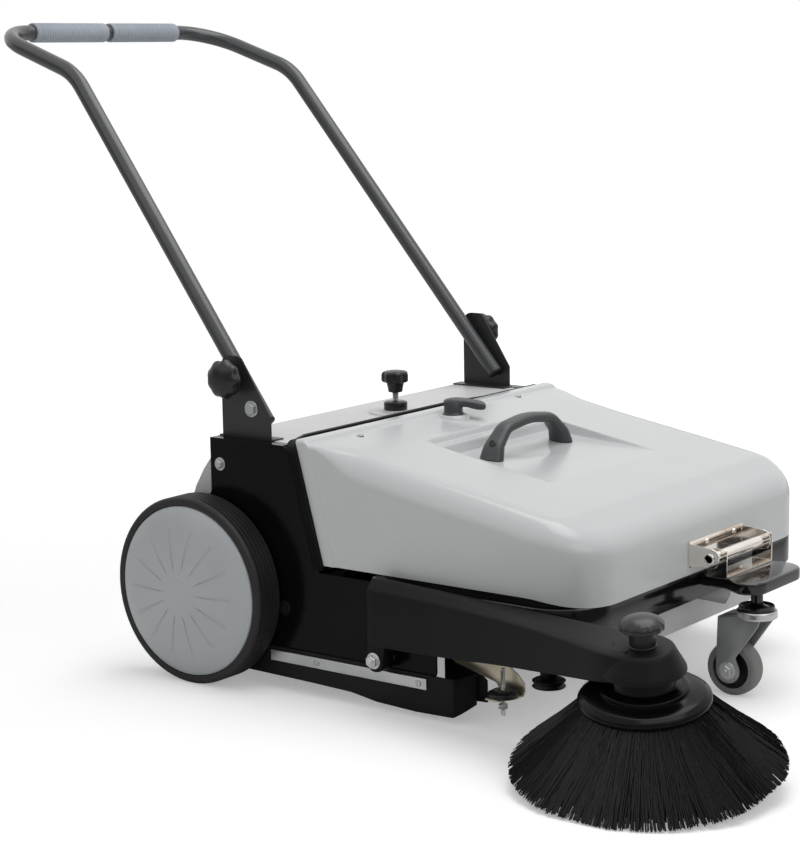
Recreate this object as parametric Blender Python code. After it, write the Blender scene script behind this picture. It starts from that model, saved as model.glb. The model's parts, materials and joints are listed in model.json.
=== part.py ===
# Manual floor sweeper: a walk-behind sweeping machine pushed by a folding handle.
# Metres, +Z up, the front of the machine points along -Y, the floor is z = 0.
# The operator stands behind at +Y, so the operator's right side is -X.
import bpy
import bmesh
import math
from mathutils import Matrix, Vector

for ob in list(bpy.data.objects):
    bpy.data.objects.remove(ob, do_unlink=True)

# Driving dimensions
GAP = 0.0003            # clearance between touching pieces
SHEET = 0.003           # steel sheet
COVER_PEAK = 0.377      # top of the hopper cover
COVER_FOOT = 0.190
COVER_FRONT = -0.495
PANEL_IN = 0.328        # inner face of the side panels
PANEL_OUT = PANEL_IN + SHEET
PANEL_TOP = COVER_PEAK - 0.010
PANEL_STEP = COVER_FOOT - 0.004   # top edge of the panels beside the hopper
PANEL_FRONT = -0.255
PANEL_FOOT = 0.060
PANEL_REAR = 0.158      # upper rear edge of the side panels
BRACKET_OUT = PANEL_IN - 0.0175   # handle brackets
BRACKET_IN = BRACKET_OUT - 0.0022
FLANGE_IN = BRACKET_OUT + GAP     # inner edge of the flanges along the top of the panels
PLATE_HALF = BRACKET_IN - 0.0011  # rear top plate
PLATE_TOP = PANEL_TOP - 0.0005
PLATE_FOOT = PLATE_TOP - 0.0215
DRUM_HALF = PANEL_IN - 0.0045     # rear housing
SKIRT_SHEET = 0.003     # rubber sheet of the skirts
SKIRT_X = PANEL_OUT + GAP + SKIRT_SHEET / 2
SEAL_REAR = -0.0475     # foot of the slanted front face of the hopper seal
SEAL_THICK = 0.010
SEAL_WIDE = 0.014
REAR_SLOPE = 0.276      # lean of the hopper mouth, seen from the side
MOUTH_CLEAR = 0.005648  # from the seal's back to the panels' top edge
MOUTH_Y = SEAL_REAR + SEAL_THICK + (PANEL_TOP - COVER_FOOT) * REAR_SLOPE + MOUTH_CLEAR
COVER_HALF = PANEL_IN - 0.001
COVER_CORNER = 0.085    # plan radius of the cover's front corners
COVER_ROLL = 0.034      # radius of its rolled top edge
COVER_REAR = SEAL_REAR - 0.0005   # foot of its slanted rear edge
COVER_WALL = 0.004
TRAY_HALF = 0.160       # carrying recess
TRAY_REAR = -0.130
TRAY_FRONT = -0.334
TRAY_DEEP = COVER_PEAK - 0.043    # height of its floor at the rear
TRAY_LOW = COVER_PEAK - 0.0593    # height of its floor at the front
HANDLE_Y = -0.185       # carry handle in the recess
HANDLE_HALF = 0.102
HANDLE_FOOT = TRAY_DEEP - 0.0031
HANDLE_TOP = COVER_PEAK - 0.001
LATCH_X = 0.003         # latch spindle
LATCH_Y = -0.048
LATCH_SEAT = COVER_PEAK - 0.0048
LATCH_R = 0.006
BUCKET_HALF = COVER_HALF - 0.047  # dirt bin under the cover
BUCKET_REAR = -0.135
BUCKET_FRONT = COVER_FRONT + 0.032
BUCKET_FOOT = 0.087
BUCKET_TOP = COVER_FOOT - 0.0005
BUCKET_LIP = 0.125      # height of its lip towards the brush
BUCKET_WALL = 0.004
RIM_HALF = COVER_HALF - 0.009
RIM_FRONT = COVER_FRONT + 0.015
TOP_PROFILE = [
    (0.010, COVER_PEAK), (-0.018, COVER_PEAK), (-0.026, COVER_PEAK - 0.0055), (-0.090, COVER_PEAK - 0.0150),
    (-0.170, COVER_PEAK - 0.0310), (-0.320, COVER_PEAK - 0.0570), (-0.430, COVER_PEAK - 0.0770),
    (-0.520, COVER_PEAK - 0.0940),
]
WHEEL_R = 0.1415        # rear wheel radius
WHEEL_Y = 0.165         # rear wheel axis
WHEEL_WIDE = 0.050
WHEEL_IN = PANEL_OUT + 0.004
WHEEL_OUT = WHEEL_IN + WHEEL_WIDE
TYRE_WALL = 0.013       # depth of the tyre outside the disc
TYRE_BORE = WHEEL_R - TYRE_WALL
DISC_R = TYRE_BORE - GAP
DISC_SET = 0.004        # the disc's rim lies inside the tyre's faces
DISC_DOME = 0.0255      # bulge of the wheel discs
SHAFT_R = 0.010         # wheel shafts
SHAFT_IN = PANEL_IN - 0.019
BRUSH_Y = 0.020         # main brush axis
BRUSH_Z = 0.125
BRUSH_R = 0.124
CORE_R = 0.040
CORE_HALF = DRUM_HALF - 0.0185
BRISTLE_HALF = CORE_HALF - 0.010  # half length of the bristle sleeve
SPINDLE_R = 0.006       # spindle ends of the main brush
SPINDLE_HALF = PANEL_OUT + 0.0035
DRIVE_X = 0.007 - DRUM_HALF       # plane of the brush drive belt
DRIVE_R = 0.030         # pitch radius of the belt pulley on the right wheel shaft
DRIVEN_R = 0.015        # pitch radius of the belt pulley on the brush core
BELT_R = 0.0023         # round drive belt
BAND_HALF = COVER_HALF - 0.001    # frame band round the hopper
BAND_FRONT = COVER_FRONT + 0.006
BAND_Z = COVER_FOOT - 0.026
BAND_TALL = 0.044
BAND_THICK = 0.004
BAND_LEDGE = 0.012
SHELF_HALF = 0.100      # caster shelf
SHELF_FRONT = COVER_FRONT - 0.107
SHELF_FOOT = BAND_Z - 0.0015
SHELF_TOP = SHELF_FOOT + 0.0175
HINGE_X = 0.028         # centre of the front hinge and caster shelf
HINGE_Y = COVER_FRONT - 0.035     # hopper tipping axis
HINGE_Z = SHELF_TOP + 0.0325
HINGE_TUBE_R = 0.0082
HINGE_BORE = HINGE_TUBE_R + GAP
LEAF_HALF = 0.078       # hinge leaf on the cover
LEAF_BACK = COVER_FRONT - GAP
NICKEL_SHEET = 0.0025
BASE_LOW = -0.052       # ends of the channel on the shelf, from the hinge's middle
BASE_HIGH = 0.085
CASTER_X = 0.020        # caster swivel axis
CASTER_Y = SHELF_FRONT + 0.034
CASTER_TRAIL = 0.034
CASTER_R = 0.040
CASTER_HALF = 0.0145    # half width of the caster tyre
CASTER_BOLT_R = 0.004
RACE_FOOT = SHELF_FOOT - 0.0325   # underside of the caster's ball race
FORK_IN = CASTER_HALF + 0.0065    # inner face of the fork legs
FORK_OUT = FORK_IN + 0.0026
FORK_TOP = RACE_FOOT - GAP
FORK_FOOT = FORK_TOP - 0.0127
TUBE_R = 0.0125         # push handle tube
TUBE_SIDES = 12
TUBE_WALL = 0.0015
FOLD_Y = 0.092          # push handle folding axis
FOLD_Z = PLATE_TOP + 0.0455
CLAMP_Y = FOLD_Y + 0.0333         # clamp knobs of the push handle
CLAMP_Z = FOLD_Z + 0.0445
HARDWARE_R = 0.0042     # shanks of the fold bolts and clamp knobs
KNOB_HEAD_R = 0.0275    # lobed heads of the clamp knobs and the side brush knob
KNOB_WAVE = 0.0018
GRIP_R = 0.016
GRIP_Y = 0.672          # bar of the push handle
GRIP_Z = 0.970
KNOB_Y = 0.0625         # brush height screw
BOSS_TOP = PLATE_TOP + 0.0023
NUT_FOOT = BOSS_TOP + GAP
NUT_TOP = NUT_FOOT + 0.0169
HEAD_FOOT = NUT_TOP + 0.013
ARM_Y = -0.170          # side arm pivot axis
ARM_Z = 0.082
ARM_IN = PANEL_OUT + 0.0075       # inner face of the side arm
ARM_THICK = 0.0255      # at its pivot
PIVOT_R = 0.006
PULLEY_X = -ARM_IN - 0.0335       # belt pulley under the side arm
PULLEY_Y = -0.470
PULLEY_FOOT = 0.096
PULLEY_TOP = PULLEY_FOOT + 0.010
PULLEY_R = 0.0225
STOP_X = 0.020 - PANEL_IN         # adjusting screw of the stop bracket
STOP_Y = -0.352
STOP_R = 0.0032
SIDE_BRUSH = Vector((-ARM_IN - 0.0745, -0.641, 0.122))   # centre of the side brush disc
SIDE_AXIS = Vector((-0.160, -0.050, 1.0)).normalized()
SIDE_R = 0.088          # side brush disc
NOSE_FOOT = 0.0262      # foot and top of the arm's nose over the disc
NOSE_TOP = 0.069
ROUND_LARGE = 32        # facets of the rear wheels
ROUND_SMALL = 16        # facets of pulleys, spindles and hubs

bodies = {}
nodes = []


def body(name, x, y, z):
    """Empty on the joint axis that carries the pieces of one rigid body."""
    empty = bpy.data.objects.new(name + "_axis", None)
    empty.empty_display_size = 0.05
    empty.location = (x, y, z)
    bpy.context.scene.collection.objects.link(empty)
    bodies[name] = empty
    return empty


def paint(ob, colour, rough, metal):
    mat = bpy.data.materials.new(ob.name + "_material")
    mat.use_nodes = True
    shader = mat.node_tree.nodes["Principled BSDF"]
    shader.inputs["Base Color"].default_value = (*colour, 1.0)
    shader.inputs["Roughness"].default_value = rough
    shader.inputs["Metallic"].default_value = metal
    ob.data.materials.append(mat)


def place(name, group, bm, colour, rough=0.5, metal=0.0, smooth=35.0):
    """Closed mesh in world coordinates turned into a named piece of one body."""
    bmesh.ops.remove_doubles(bm, verts=bm.verts, dist=0.00001)
    bmesh.ops.recalc_face_normals(bm, faces=bm.faces)
    empty = bodies[group]
    bmesh.ops.translate(bm, verts=bm.verts, vec=-empty.location)
    mesh = bpy.data.meshes.new(name)
    bm.to_mesh(mesh)
    bm.free()
    for poly in mesh.polygons:
        poly.use_smooth = True
    mesh.set_sharp_from_angle(angle=math.radians(smooth))
    ob = bpy.data.objects.new(name, mesh)
    bpy.context.scene.collection.objects.link(ob)
    ob.parent = empty
    paint(ob, colour, rough, metal)
    nodes.append(ob)
    return ob


def frame_axes(axis):
    if axis == "X":
        return Vector((0, 1, 0)), Vector((0, 0, 1)), Vector((1, 0, 0))
    if axis == "Y":
        return Vector((1, 0, 0)), Vector((0, 0, 1)), Vector((0, 1, 0))
    return Vector((1, 0, 0)), Vector((0, 1, 0)), Vector((0, 0, 1))


def prism(outline, axis, low, high, bm=None):
    """Outline pushed along one axis between two planes."""
    bm = bm or bmesh.new()
    u, v, w = frame_axes(axis)
    a = [bm.verts.new(u * p[0] + v * p[1] + w * low) for p in outline]
    b = [bm.verts.new(u * p[0] + v * p[1] + w * high) for p in outline]
    n = len(outline)
    bm.faces.new(a)
    bm.faces.new(b)
    for i in range(n):
        bm.faces.new((a[i], a[(i + 1) % n], b[(i + 1) % n], b[i]))
    return bm


def box(x0, x1, y0, y1, z0, z1, bm=None):
    return prism([(x0, y0), (x1, y0), (x1, y1), (x0, y1)], "Z", z0, z1, bm)


def lathe(profile, centre, axis, count, bm=None):
    """Closed profile of (radius, distance along the axis) turned round the axis."""
    bm = bm or bmesh.new()
    w = Vector(axis).normalized()
    u = w.orthogonal().normalized()
    if abs(w.x) > 0.99:
        u = Vector((0, 0, 1))
    elif abs(w.z) > 0.9:
        u = Vector((1, 0, 0)) - w * w.x
        u.normalize()
    v = w.cross(u)
    centre = Vector(centre)
    rings = []
    for r, h in profile:
        if r < 1e-6:
            rings.append([bm.verts.new(centre + w * h)])
            continue
        ring = []
        for k in range(count):
            t = 2 * math.pi * k / count
            ring.append(bm.verts.new(centre + w * h + (u * math.cos(t) + v * math.sin(t)) * r))
        rings.append(ring)
    for i in range(len(rings)):
        a = rings[i]
        b = rings[(i + 1) % len(rings)]
        if len(a) == 1 and len(b) == 1:
            continue
        for k in range(count):
            k2 = (k + 1) % count
            if len(a) == 1:
                bm.faces.new((a[0], b[k], b[k2]))
            elif len(b) == 1:
                bm.faces.new((a[k], a[k2], b[0]))
            else:
                bm.faces.new((a[k], a[k2], b[k2], b[k]))
    return bm


def bar(radius, low, high, centre, axis, count=24, chamfer=0.0, bm=None):
    c = chamfer
    if c:
        profile = [(0, low), (radius - c, low), (radius, low + c), (radius, high - c), (radius - c, high), (0, high)]
    else:
        profile = [(0, low), (radius, low), (radius, high), (0, high)]
    return lathe(profile, centre, axis, count, bm)


def sweep(points, section, up, bm=None):
    """Closed section of (side, up) pairs carried along a path and capped at both ends."""
    bm = bm or bmesh.new()
    points = [Vector(p) for p in points]
    up = Vector(up)
    rings = []
    for i, p in enumerate(points):
        before = (p - points[i - 1]).normalized() if i else None
        after = (points[i + 1] - p).normalized() if i < len(points) - 1 else None
        along = (before or after) + (after or before)
        along.normalize()
        side = along.cross(up).normalized()
        top = side.cross(along).normalized()
        stretch = 1.0
        if before and after:
            stretch = 1.0 / max(0.5, math.cos(before.angle(after) / 2))
        bend_in_side = True
        if before and after and (after - before).length > 1e-6:
            bend_in_side = abs((after - before).normalized().dot(side)) > 0.5
        ring = []
        for s, t in section:
            if bend_in_side:
                ring.append(bm.verts.new(p + side * s * stretch + top * t))
            else:
                ring.append(bm.verts.new(p + side * s + top * t * stretch))
        rings.append(ring)
    n = len(section)
    for a, b in zip(rings, rings[1:]):
        for k in range(n):
            bm.faces.new((a[k], a[(k + 1) % n], b[(k + 1) % n], b[k]))
    bm.faces.new(rings[0])
    bm.faces.new(rings[-1])
    return bm


def circle(radius, count):
    turns = [2 * math.pi * k / count for k in range(count)]
    return [(radius * math.cos(t), radius * math.sin(t)) for t in turns]


def fillet(points, radii, steps=6):
    """Polyline of 3-D points with rounded inner corners."""
    points = [Vector(p) for p in points]
    out = [points[0]]
    for i in range(1, len(points) - 1):
        p, a, b = points[i], points[i - 1], points[i + 1]
        da = (a - p).normalized()
        db = (b - p).normalized()
        angle = da.angle(db)
        r = radii[i - 1]
        cut = r / math.tan(angle / 2)
        centre = p + (da + db).normalized() * (r / math.sin(angle / 2))
        start = p + da * cut
        stop = p + db * cut
        for k in range(steps + 1):
            t = k / steps
            q = (start - centre).slerp(stop - centre, t)
            out.append(centre + q.normalized() * r)
    out.append(points[-1])
    return out


def rounded(outline, radius, steps=5):
    """Closed 2-D outline with every corner of given radius rounded; radius may be a list."""
    n = len(outline)
    radii = radius if isinstance(radius, (list, tuple)) else [radius] * n
    out = []
    for i in range(n):
        p = Vector(outline[i])
        a = Vector(outline[i - 1])
        b = Vector(outline[(i + 1) % n])
        r = radii[i]
        if r < 1e-6:
            out.append((p.x, p.y))
            continue
        da = (a - p).normalized()
        db = (b - p).normalized()
        angle = math.acos(max(-1, min(1, da.dot(db))))
        cut = r / math.tan(angle / 2)
        centre = p + (da + db).normalized() * (r / math.sin(angle / 2))
        t0 = p + da * cut - centre
        t1 = p + db * cut - centre
        a0 = math.atan2(t0.y, t0.x)
        a1 = math.atan2(t1.y, t1.x)
        d = (a1 - a0 + math.pi) % (2 * math.pi) - math.pi
        for k in range(steps + 1):
            t = a0 + d * k / steps
            out.append((centre.x + r * math.cos(t), centre.y + r * math.sin(t)))
    return out


def combine(ob, bm, name, operation="DIFFERENCE"):
    """Takes the volume of one more closed mesh out of a piece, or adds it."""
    bmesh.ops.recalc_face_normals(bm, faces=bm.faces)
    bmesh.ops.translate(bm, verts=bm.verts, vec=-ob.parent.location)
    mesh = bpy.data.meshes.new(name)
    bm.to_mesh(mesh)
    bm.free()
    tool = bpy.data.objects.new(name, mesh)
    bpy.context.scene.collection.objects.link(tool)
    tool.parent = ob.parent
    tool.hide_render = True
    tool.display_type = "WIRE"
    mod = ob.modifiers.new(name, "BOOLEAN")
    mod.operation = operation
    mod.solver = "EXACT"
    mod.object = tool
    return tool


BLACK_STEEL = (0.012, 0.012, 0.013)
BLACK_PLASTIC = (0.017, 0.017, 0.018)
RUBBER = (0.014, 0.014, 0.014)
GREY_COVER = (0.55, 0.57, 0.57)
LIGHT_GREY = (0.62, 0.62, 0.61)
DARK_GREY = (0.055, 0.058, 0.060)
ZINC = (0.56, 0.57, 0.56)
YELLOW_ZINC = (0.62, 0.55, 0.40)
NICKEL = (0.66, 0.60, 0.56)
TUBE_GREY = (0.060, 0.062, 0.065)

body("chassis", 0, 0, 0)
body("hopper", HINGE_X, HINGE_Y, HINGE_Z)
body("latch_lever", LATCH_X, LATCH_Y, LATCH_SEAT)
body("right_wheel", -WHEEL_OUT, WHEEL_Y, WHEEL_R)
body("left_wheel", WHEEL_OUT, WHEEL_Y, WHEEL_R)
body("main_brush", 0, BRUSH_Y, BRUSH_Z)
body("side_arm", -ARM_IN - 0.0115, ARM_Y, ARM_Z)
body("side_brush", *SIDE_BRUSH)
body("side_knob", *(SIDE_BRUSH + SIDE_AXIS * 0.09))
body("arm_pulley", PULLEY_X, PULLEY_Y, 0.104)
body("caster_fork", CASTER_X, CASTER_Y, 0.140)
body("caster_wheel", CASTER_X, CASTER_Y + CASTER_TRAIL, CASTER_R)
body("push_handle", 0, FOLD_Y, FOLD_Z)
body("right_clamp", -BRACKET_OUT - 0.0395, CLAMP_Y, CLAMP_Z)
body("left_clamp", BRACKET_OUT + 0.0395, CLAMP_Y, CLAMP_Z)
body("height_knob", 0, KNOB_Y, 0.40)

# Side panels: folded steel sheets with an inward flange along the top
for side, word in ((-1, "right"), (1, "left")):
    outline = [
        (PANEL_REAR, PANEL_TOP), (MOUTH_Y, PANEL_TOP), (MOUTH_Y - 0.014, PANEL_TOP - 0.008),
        (SEAL_REAR + 0.0005, PANEL_STEP), (PANEL_FRONT, PANEL_STEP), (PANEL_FRONT, PANEL_FOOT),
        (0.185, PANEL_FOOT), (0.205, PANEL_FOOT + 0.025), (0.205, 0.215), (PANEL_REAR, 0.262),
    ]
    outline = rounded(outline, [0, 0.004, 0.004, 0, 0, 0.010, 0.015, 0.015, 0.020, 0.020], 3)
    bm = prism(outline, "X", side * PANEL_IN, side * PANEL_OUT)
    panel = place("side_panel_" + word, "chassis", bm, BLACK_STEEL, 0.25)
    flange = box(
        side * FLANGE_IN, side * (PANEL_IN + 0.001),
        MOUTH_Y + 0.001, PANEL_REAR - 0.0005, PANEL_TOP - SHEET, PANEL_TOP - 0.0001,
    )
    combine(panel, flange, "flange_" + word, "UNION")
    inside = PANEL_IN - 0.008
    outside = PANEL_OUT + 0.009
    hole = bar(SHAFT_R + 0.0060 + GAP, inside, outside, (0, WHEEL_Y, WHEEL_R), (side, 0, 0), 14)
    combine(panel, hole, "wheel_hole_" + word)
    hole = bar(SPINDLE_R + 0.0050 + GAP, inside, outside, (0, BRUSH_Y, BRUSH_Z), (side, 0, 0), 14)
    combine(panel, hole, "brush_hole_" + word)

# Wheel and brush bearings: plastic flanged bushes in the side panels
for side, word in ((-1, "right"), (1, "left")):
    bushes = (
        ("wheel", WHEEL_Y, WHEEL_R, SHAFT_R + GAP, SHAFT_R + 0.0060),
        ("brush", BRUSH_Y, BRUSH_Z, SPINDLE_R + GAP, SPINDLE_R + 0.0050),
    )
    for kind, y, z, bore, out in bushes:
        profile = [
            (bore, PANEL_IN - 0.0040), (out + 0.005, PANEL_IN - 0.0040), (out + 0.005, PANEL_IN - GAP),
            (out, PANEL_IN - GAP), (out, PANEL_OUT + 0.0020), (bore, PANEL_OUT + 0.0020),
        ]
        bm = lathe(profile, (0, y, z), (side, 0, 0), 14)
        place(kind + "_bearing_" + word, "chassis", bm, BLACK_PLASTIC, 0.45)

# Rear top plate: flat light plate between the handle brackets
plate_front = MOUTH_Y + 0.001
outline = [
    (-PLATE_HALF, plate_front), (PLATE_HALF, plate_front), (PLATE_HALF, PANEL_REAR), (-PLATE_HALF, PANEL_REAR),
]
bm = prism(rounded(outline, [0, 0, 0.006, 0.006], 3), "Z", PLATE_FOOT, PLATE_TOP)
plate = place("rear_top_plate", "chassis", bm, LIGHT_GREY, 0.45)
boss = bar(0.0430, PLATE_TOP - 0.0025, BOSS_TOP, (0, KNOB_Y, 0), (0, 0, 1), ROUND_LARGE, 0.0008)
combine(plate, boss, "height_boss", "UNION")

# Rear housing: light grey drum cover over the main brush, open below and towards the hopper
outer = [
    (0.0180, PLATE_FOOT - GAP), (0.1560, PLATE_FOOT - GAP), (0.1790, 0.3160), (0.1960, 0.2880), (0.2080, 0.2570),
    (0.2150, 0.2200), (0.2160, 0.1800), (0.2120, 0.1350), (0.2050, 0.0900), (0.1980, 0.0650),
]
inner = [
    (0.1940, 0.0660), (0.2010, 0.0910), (0.2080, 0.1360), (0.2120, 0.1800), (0.2110, 0.2190),
    (0.2040, 0.2560), (0.1920, 0.2860), (0.1750, 0.3140), (0.1540, PLATE_FOOT - 0.0043),
    (0.0180, PLATE_FOOT - 0.0043),
]
bm = prism(outer + inner, "X", -DRUM_HALF, DRUM_HALF)
housing = place("rear_housing", "chassis", bm, LIGHT_GREY, 0.45, smooth=30)
for side in (-1, 1):
    outline = [
        (0.206, 0.100), (0.214, 0.180), (0.213, 0.219), (0.206, 0.256), (0.194, 0.287), (0.177, 0.315),
        (0.155, PLATE_FOOT - 0.0023), (0.130, PLATE_FOOT - 0.0023), (0.2005, 0.2250), (0.2005, 0.1000),
    ]
    cheek = prism(outline, "X", side * (DRUM_HALF - 0.0035), side * (DRUM_HALF - 0.0001))
    combine(housing, cheek, "cheek_%d" % side, "UNION")

# Rear skirt: rubber flap hanging from the housing
bm = box(-DRUM_HALF + 0.0045, DRUM_HALF - 0.0045, 0.1902, 0.1937, 0.0080, 0.0980)
place("rear_skirt", "chassis", bm, RUBBER, 0.75)

# Hopper seal: black rubber frame between the side panels and the hopper cover
bm = bmesh.new()
seal_top = PANEL_TOP + 0.002
seal_half = COVER_HALF - SEAL_WIDE
seal_outer = [(-COVER_HALF, COVER_FOOT), (-COVER_HALF, seal_top), (COVER_HALF, seal_top), (COVER_HALF, COVER_FOOT)]
seal_inner = [
    (seal_half, COVER_FOOT), (seal_half, seal_top - SEAL_WIDE),
    (-seal_half, seal_top - SEAL_WIDE), (-seal_half, COVER_FOOT),
]
outline = rounded(seal_outer, [0, 0.008, 0.008, 0], 3) + rounded(seal_inner, [0, 0.006, 0.006, 0], 3)
front = []
back = []
for x, z in outline:
    lean = (z - COVER_FOOT) * REAR_SLOPE
    front.append(bm.verts.new((x, SEAL_REAR + lean, z)))
    back.append(bm.verts.new((x, SEAL_REAR + SEAL_THICK + lean, z)))
count = len(outline)
bm.faces.new(front)
bm.faces.new(back)
for i in range(count):
    bm.faces.new((front[i], front[(i + 1) % count], back[(i + 1) % count], back[i]))
place("hopper_seal", "chassis", bm, RUBBER, 0.6)

# Frame band: glossy steel rim under the hopper cover with an inward ledge
plan = fillet(
    [
        (-BAND_HALF, PANEL_FRONT - 0.0006, BAND_Z), (-BAND_HALF, BAND_FRONT, BAND_Z),
        (BAND_HALF, BAND_FRONT, BAND_Z), (BAND_HALF, PANEL_FRONT - 0.0006, BAND_Z),
    ],
    [0.078, 0.078], 8,
)
half = BAND_THICK / 2
rise = BAND_TALL / 2
section = [
    (-half, -rise), (half, -rise), (half, rise),
    (-BAND_LEDGE, rise), (-BAND_LEDGE, rise - SHEET), (-half, rise - SHEET),
]
bm = sweep(plan, section, (0, 0, 1))
place("frame_band", "chassis", bm, BLACK_STEEL, 0.2)

# Caster shelf: rounded black tongue in front of the band
shelf_rear = BAND_FRONT - half - 0.0004
outline = [
    (HINGE_X - SHELF_HALF, shelf_rear), (HINGE_X - SHELF_HALF, SHELF_FRONT),
    (HINGE_X + SHELF_HALF, SHELF_FRONT), (HINGE_X + SHELF_HALF, shelf_rear),
]
bm = prism(rounded(outline, [0, 0.055, 0.055, 0], 8), "Z", SHELF_FOOT, SHELF_TOP)
place("caster_shelf", "chassis", bm, BLACK_STEEL, 0.25)

# Caster stem: threaded stem and domed cap under the shelf
profile = [
    (0, RACE_FOOT), (0.0190, RACE_FOOT), (0.0190, RACE_FOOT + 0.0030), (0.0150, RACE_FOOT + 0.0075),
    (0.0080, RACE_FOOT + 0.0100), (0.0080, SHELF_FOOT - GAP), (0, SHELF_FOOT - GAP),
]
bm = lathe(profile, (CASTER_X, CASTER_Y, 0), (0, 0, 1), ROUND_SMALL)
place("caster_stem", "chassis", bm, BLACK_STEEL, 0.3)

# Caster fork: pressed swivel head with two legs that trail behind the stem
group = "caster_fork"
ax = CASTER_X
ay = CASTER_Y
wy = CASTER_Y + CASTER_TRAIL
head = FORK_OUT - 0.0001
outline = [(ax - head, ay - 0.030), (ax + head, ay - 0.030), (ax + head, ay + 0.033), (ax - head, ay + 0.033)]
bm = prism(rounded(outline, [0.020, 0.020, 0.004, 0.004], 4), "Z", FORK_FOOT, FORK_TOP)
fork = place("caster_fork_head", group, bm, ZINC, 0.4, 0.8)
for side in (-1, 1):
    leg = [
        (ay + 0.033, 0.126), (wy + 0.014, 0.045), (wy + 0.010, 0.031), (wy, 0.027), (wy - 0.010, 0.031),
        (ay - 0.012, 0.100), (ay - 0.020, 0.126),
    ]
    leg = rounded(leg, [0, 0.010, 0.003, 0.004, 0.003, 0.02, 0], 3)
    bm = prism(leg, "X", ax + side * FORK_IN, ax + side * FORK_OUT)
    combine(fork, bm, "fork_leg_%d" % side, "UNION")
hole = bar(CASTER_BOLT_R + GAP, -0.03, 0.03, (ax, wy, CASTER_R), (1, 0, 0), 16)
combine(fork, hole, "fork_hole")

# Caster wheel: grey tyre on a black rim, turning on a steel bolt
group = "caster_wheel"
tread = [
    (CASTER_R - 0.0110, CASTER_HALF), (CASTER_R - 0.0030, CASTER_HALF), (CASTER_R - 0.0008, CASTER_HALF - 0.0025),
    (CASTER_R, CASTER_HALF - 0.0075),
]
profile = [(radius, -out) for radius, out in tread] + tread[::-1]
bm = lathe(profile, (ax, wy, CASTER_R), (1, 0, 0), 24)
place("caster_tyre", group, bm, (0.16, 0.16, 0.155), 0.6)
rim_r = CASTER_R - 0.0110 - GAP
hub = [(CASTER_BOLT_R + 0.0007, FORK_IN - 0.0020), (0.0100, FORK_IN - 0.0020), (0.0100, 0.0120), (rim_r, 0.0120)]
profile = [(radius, -out) for radius, out in hub] + hub[::-1]
bm = lathe(profile, (ax, wy, CASTER_R), (1, 0, 0), 16)
place("caster_rim", group, bm, BLACK_PLASTIC, 0.4)
bm = bar(CASTER_BOLT_R, -0.0330, 0.0330, (ax, wy, CASTER_R), (1, 0, 0), 16)
bolt = place("caster_bolt", "caster_fork", bm, ZINC, 0.3, 1.0)
for side in (-1, 1):
    nut = bar(0.0078, FORK_OUT + 0.0004, FORK_OUT + 0.0064, (ax, wy, CASTER_R), (side, 0, 0), 6)
    combine(bolt, nut, "caster_nut_%d" % side, "UNION")

# Rear wheels: grooved rubber tyres, domed grey discs and short shafts
for side, word in ((-1, "right"), (1, "left")):
    group = word + "_wheel"
    centre = (0, WHEEL_Y, WHEEL_R)
    axis = (side, 0, 0)
    tread = [(TYRE_BORE, WHEEL_IN), (WHEEL_R - 0.004, WHEEL_IN), (WHEEL_R, WHEEL_IN + 0.004)]
    for share in (0.26, 0.50, 0.74):
        h = WHEEL_IN + (WHEEL_OUT - WHEEL_IN) * share
        tread += [(WHEEL_R, h - 0.0014), (WHEEL_R - 0.0022, h), (WHEEL_R, h + 0.0014)]
    tread += [(WHEEL_R, WHEEL_OUT - 0.003), (WHEEL_R - 0.003, WHEEL_OUT), (TYRE_BORE, WHEEL_OUT)]
    bm = lathe(tread, centre, axis, ROUND_LARGE)
    place(word + "_tyre", group, bm, RUBBER, 0.7, smooth=25)
    dome = []
    for k in range(5):
        t = k / 4 * math.pi / 2
        dome.append(((DISC_R - 0.0022) * math.sin(t), WHEEL_OUT - DISC_SET + DISC_DOME * math.cos(t)))
    dome += [(DISC_R, WHEEL_OUT - DISC_SET), (DISC_R, WHEEL_IN + DISC_SET), (DISC_R - 0.0042, WHEEL_IN + DISC_SET)]
    for k in range(4, 1, -1):
        t = k / 4 * math.pi / 2
        dome.append(((DISC_R - 0.0047) * math.sin(t), WHEEL_OUT - DISC_SET - 0.006 + DISC_DOME * math.cos(t)))
    dome += [
        (0.0240, WHEEL_OUT + 0.008), (0.0240, WHEEL_IN + 0.006), (SHAFT_R + GAP, WHEEL_IN + 0.006),
        (SHAFT_R + GAP, WHEEL_OUT + GAP), (0, WHEEL_OUT + GAP),
    ]
    bm = lathe(dome, centre, axis, ROUND_LARGE)
    place(word + "_disc", group, bm, (0.30, 0.32, 0.33), 0.45, smooth=30)
    profile = [(0, SHAFT_IN), (SHAFT_R, SHAFT_IN), (SHAFT_R, WHEEL_OUT), (0, WHEEL_OUT)]
    bm = lathe(profile, centre, axis, 18)
    place(word + "_shaft", group, bm, ZINC, 0.35, 1.0)


def groove(pitch):
    """Rim of a round-belt pulley: two flanges with a groove between them."""
    bottom = pitch - BELT_R - GAP
    rim = pitch + 0.003
    return [
        (rim, DRIVE_X - 0.0055), (rim, DRIVE_X - 0.0042), (bottom, DRIVE_X - 0.0033),
        (bottom, DRIVE_X + 0.0033), (rim, DRIVE_X + 0.0042), (rim, DRIVE_X + 0.0055),
    ]


profile = [(SHAFT_R + GAP, DRIVE_X - 0.0055)] + groove(DRIVE_R) + [(SHAFT_R + GAP, DRIVE_X + 0.0055)]
bm = lathe(profile, (0, WHEEL_Y, WHEEL_R), (1, 0, 0), ROUND_SMALL)
place("drive_pulley", "right_wheel", bm, BLACK_PLASTIC, 0.5)

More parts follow.
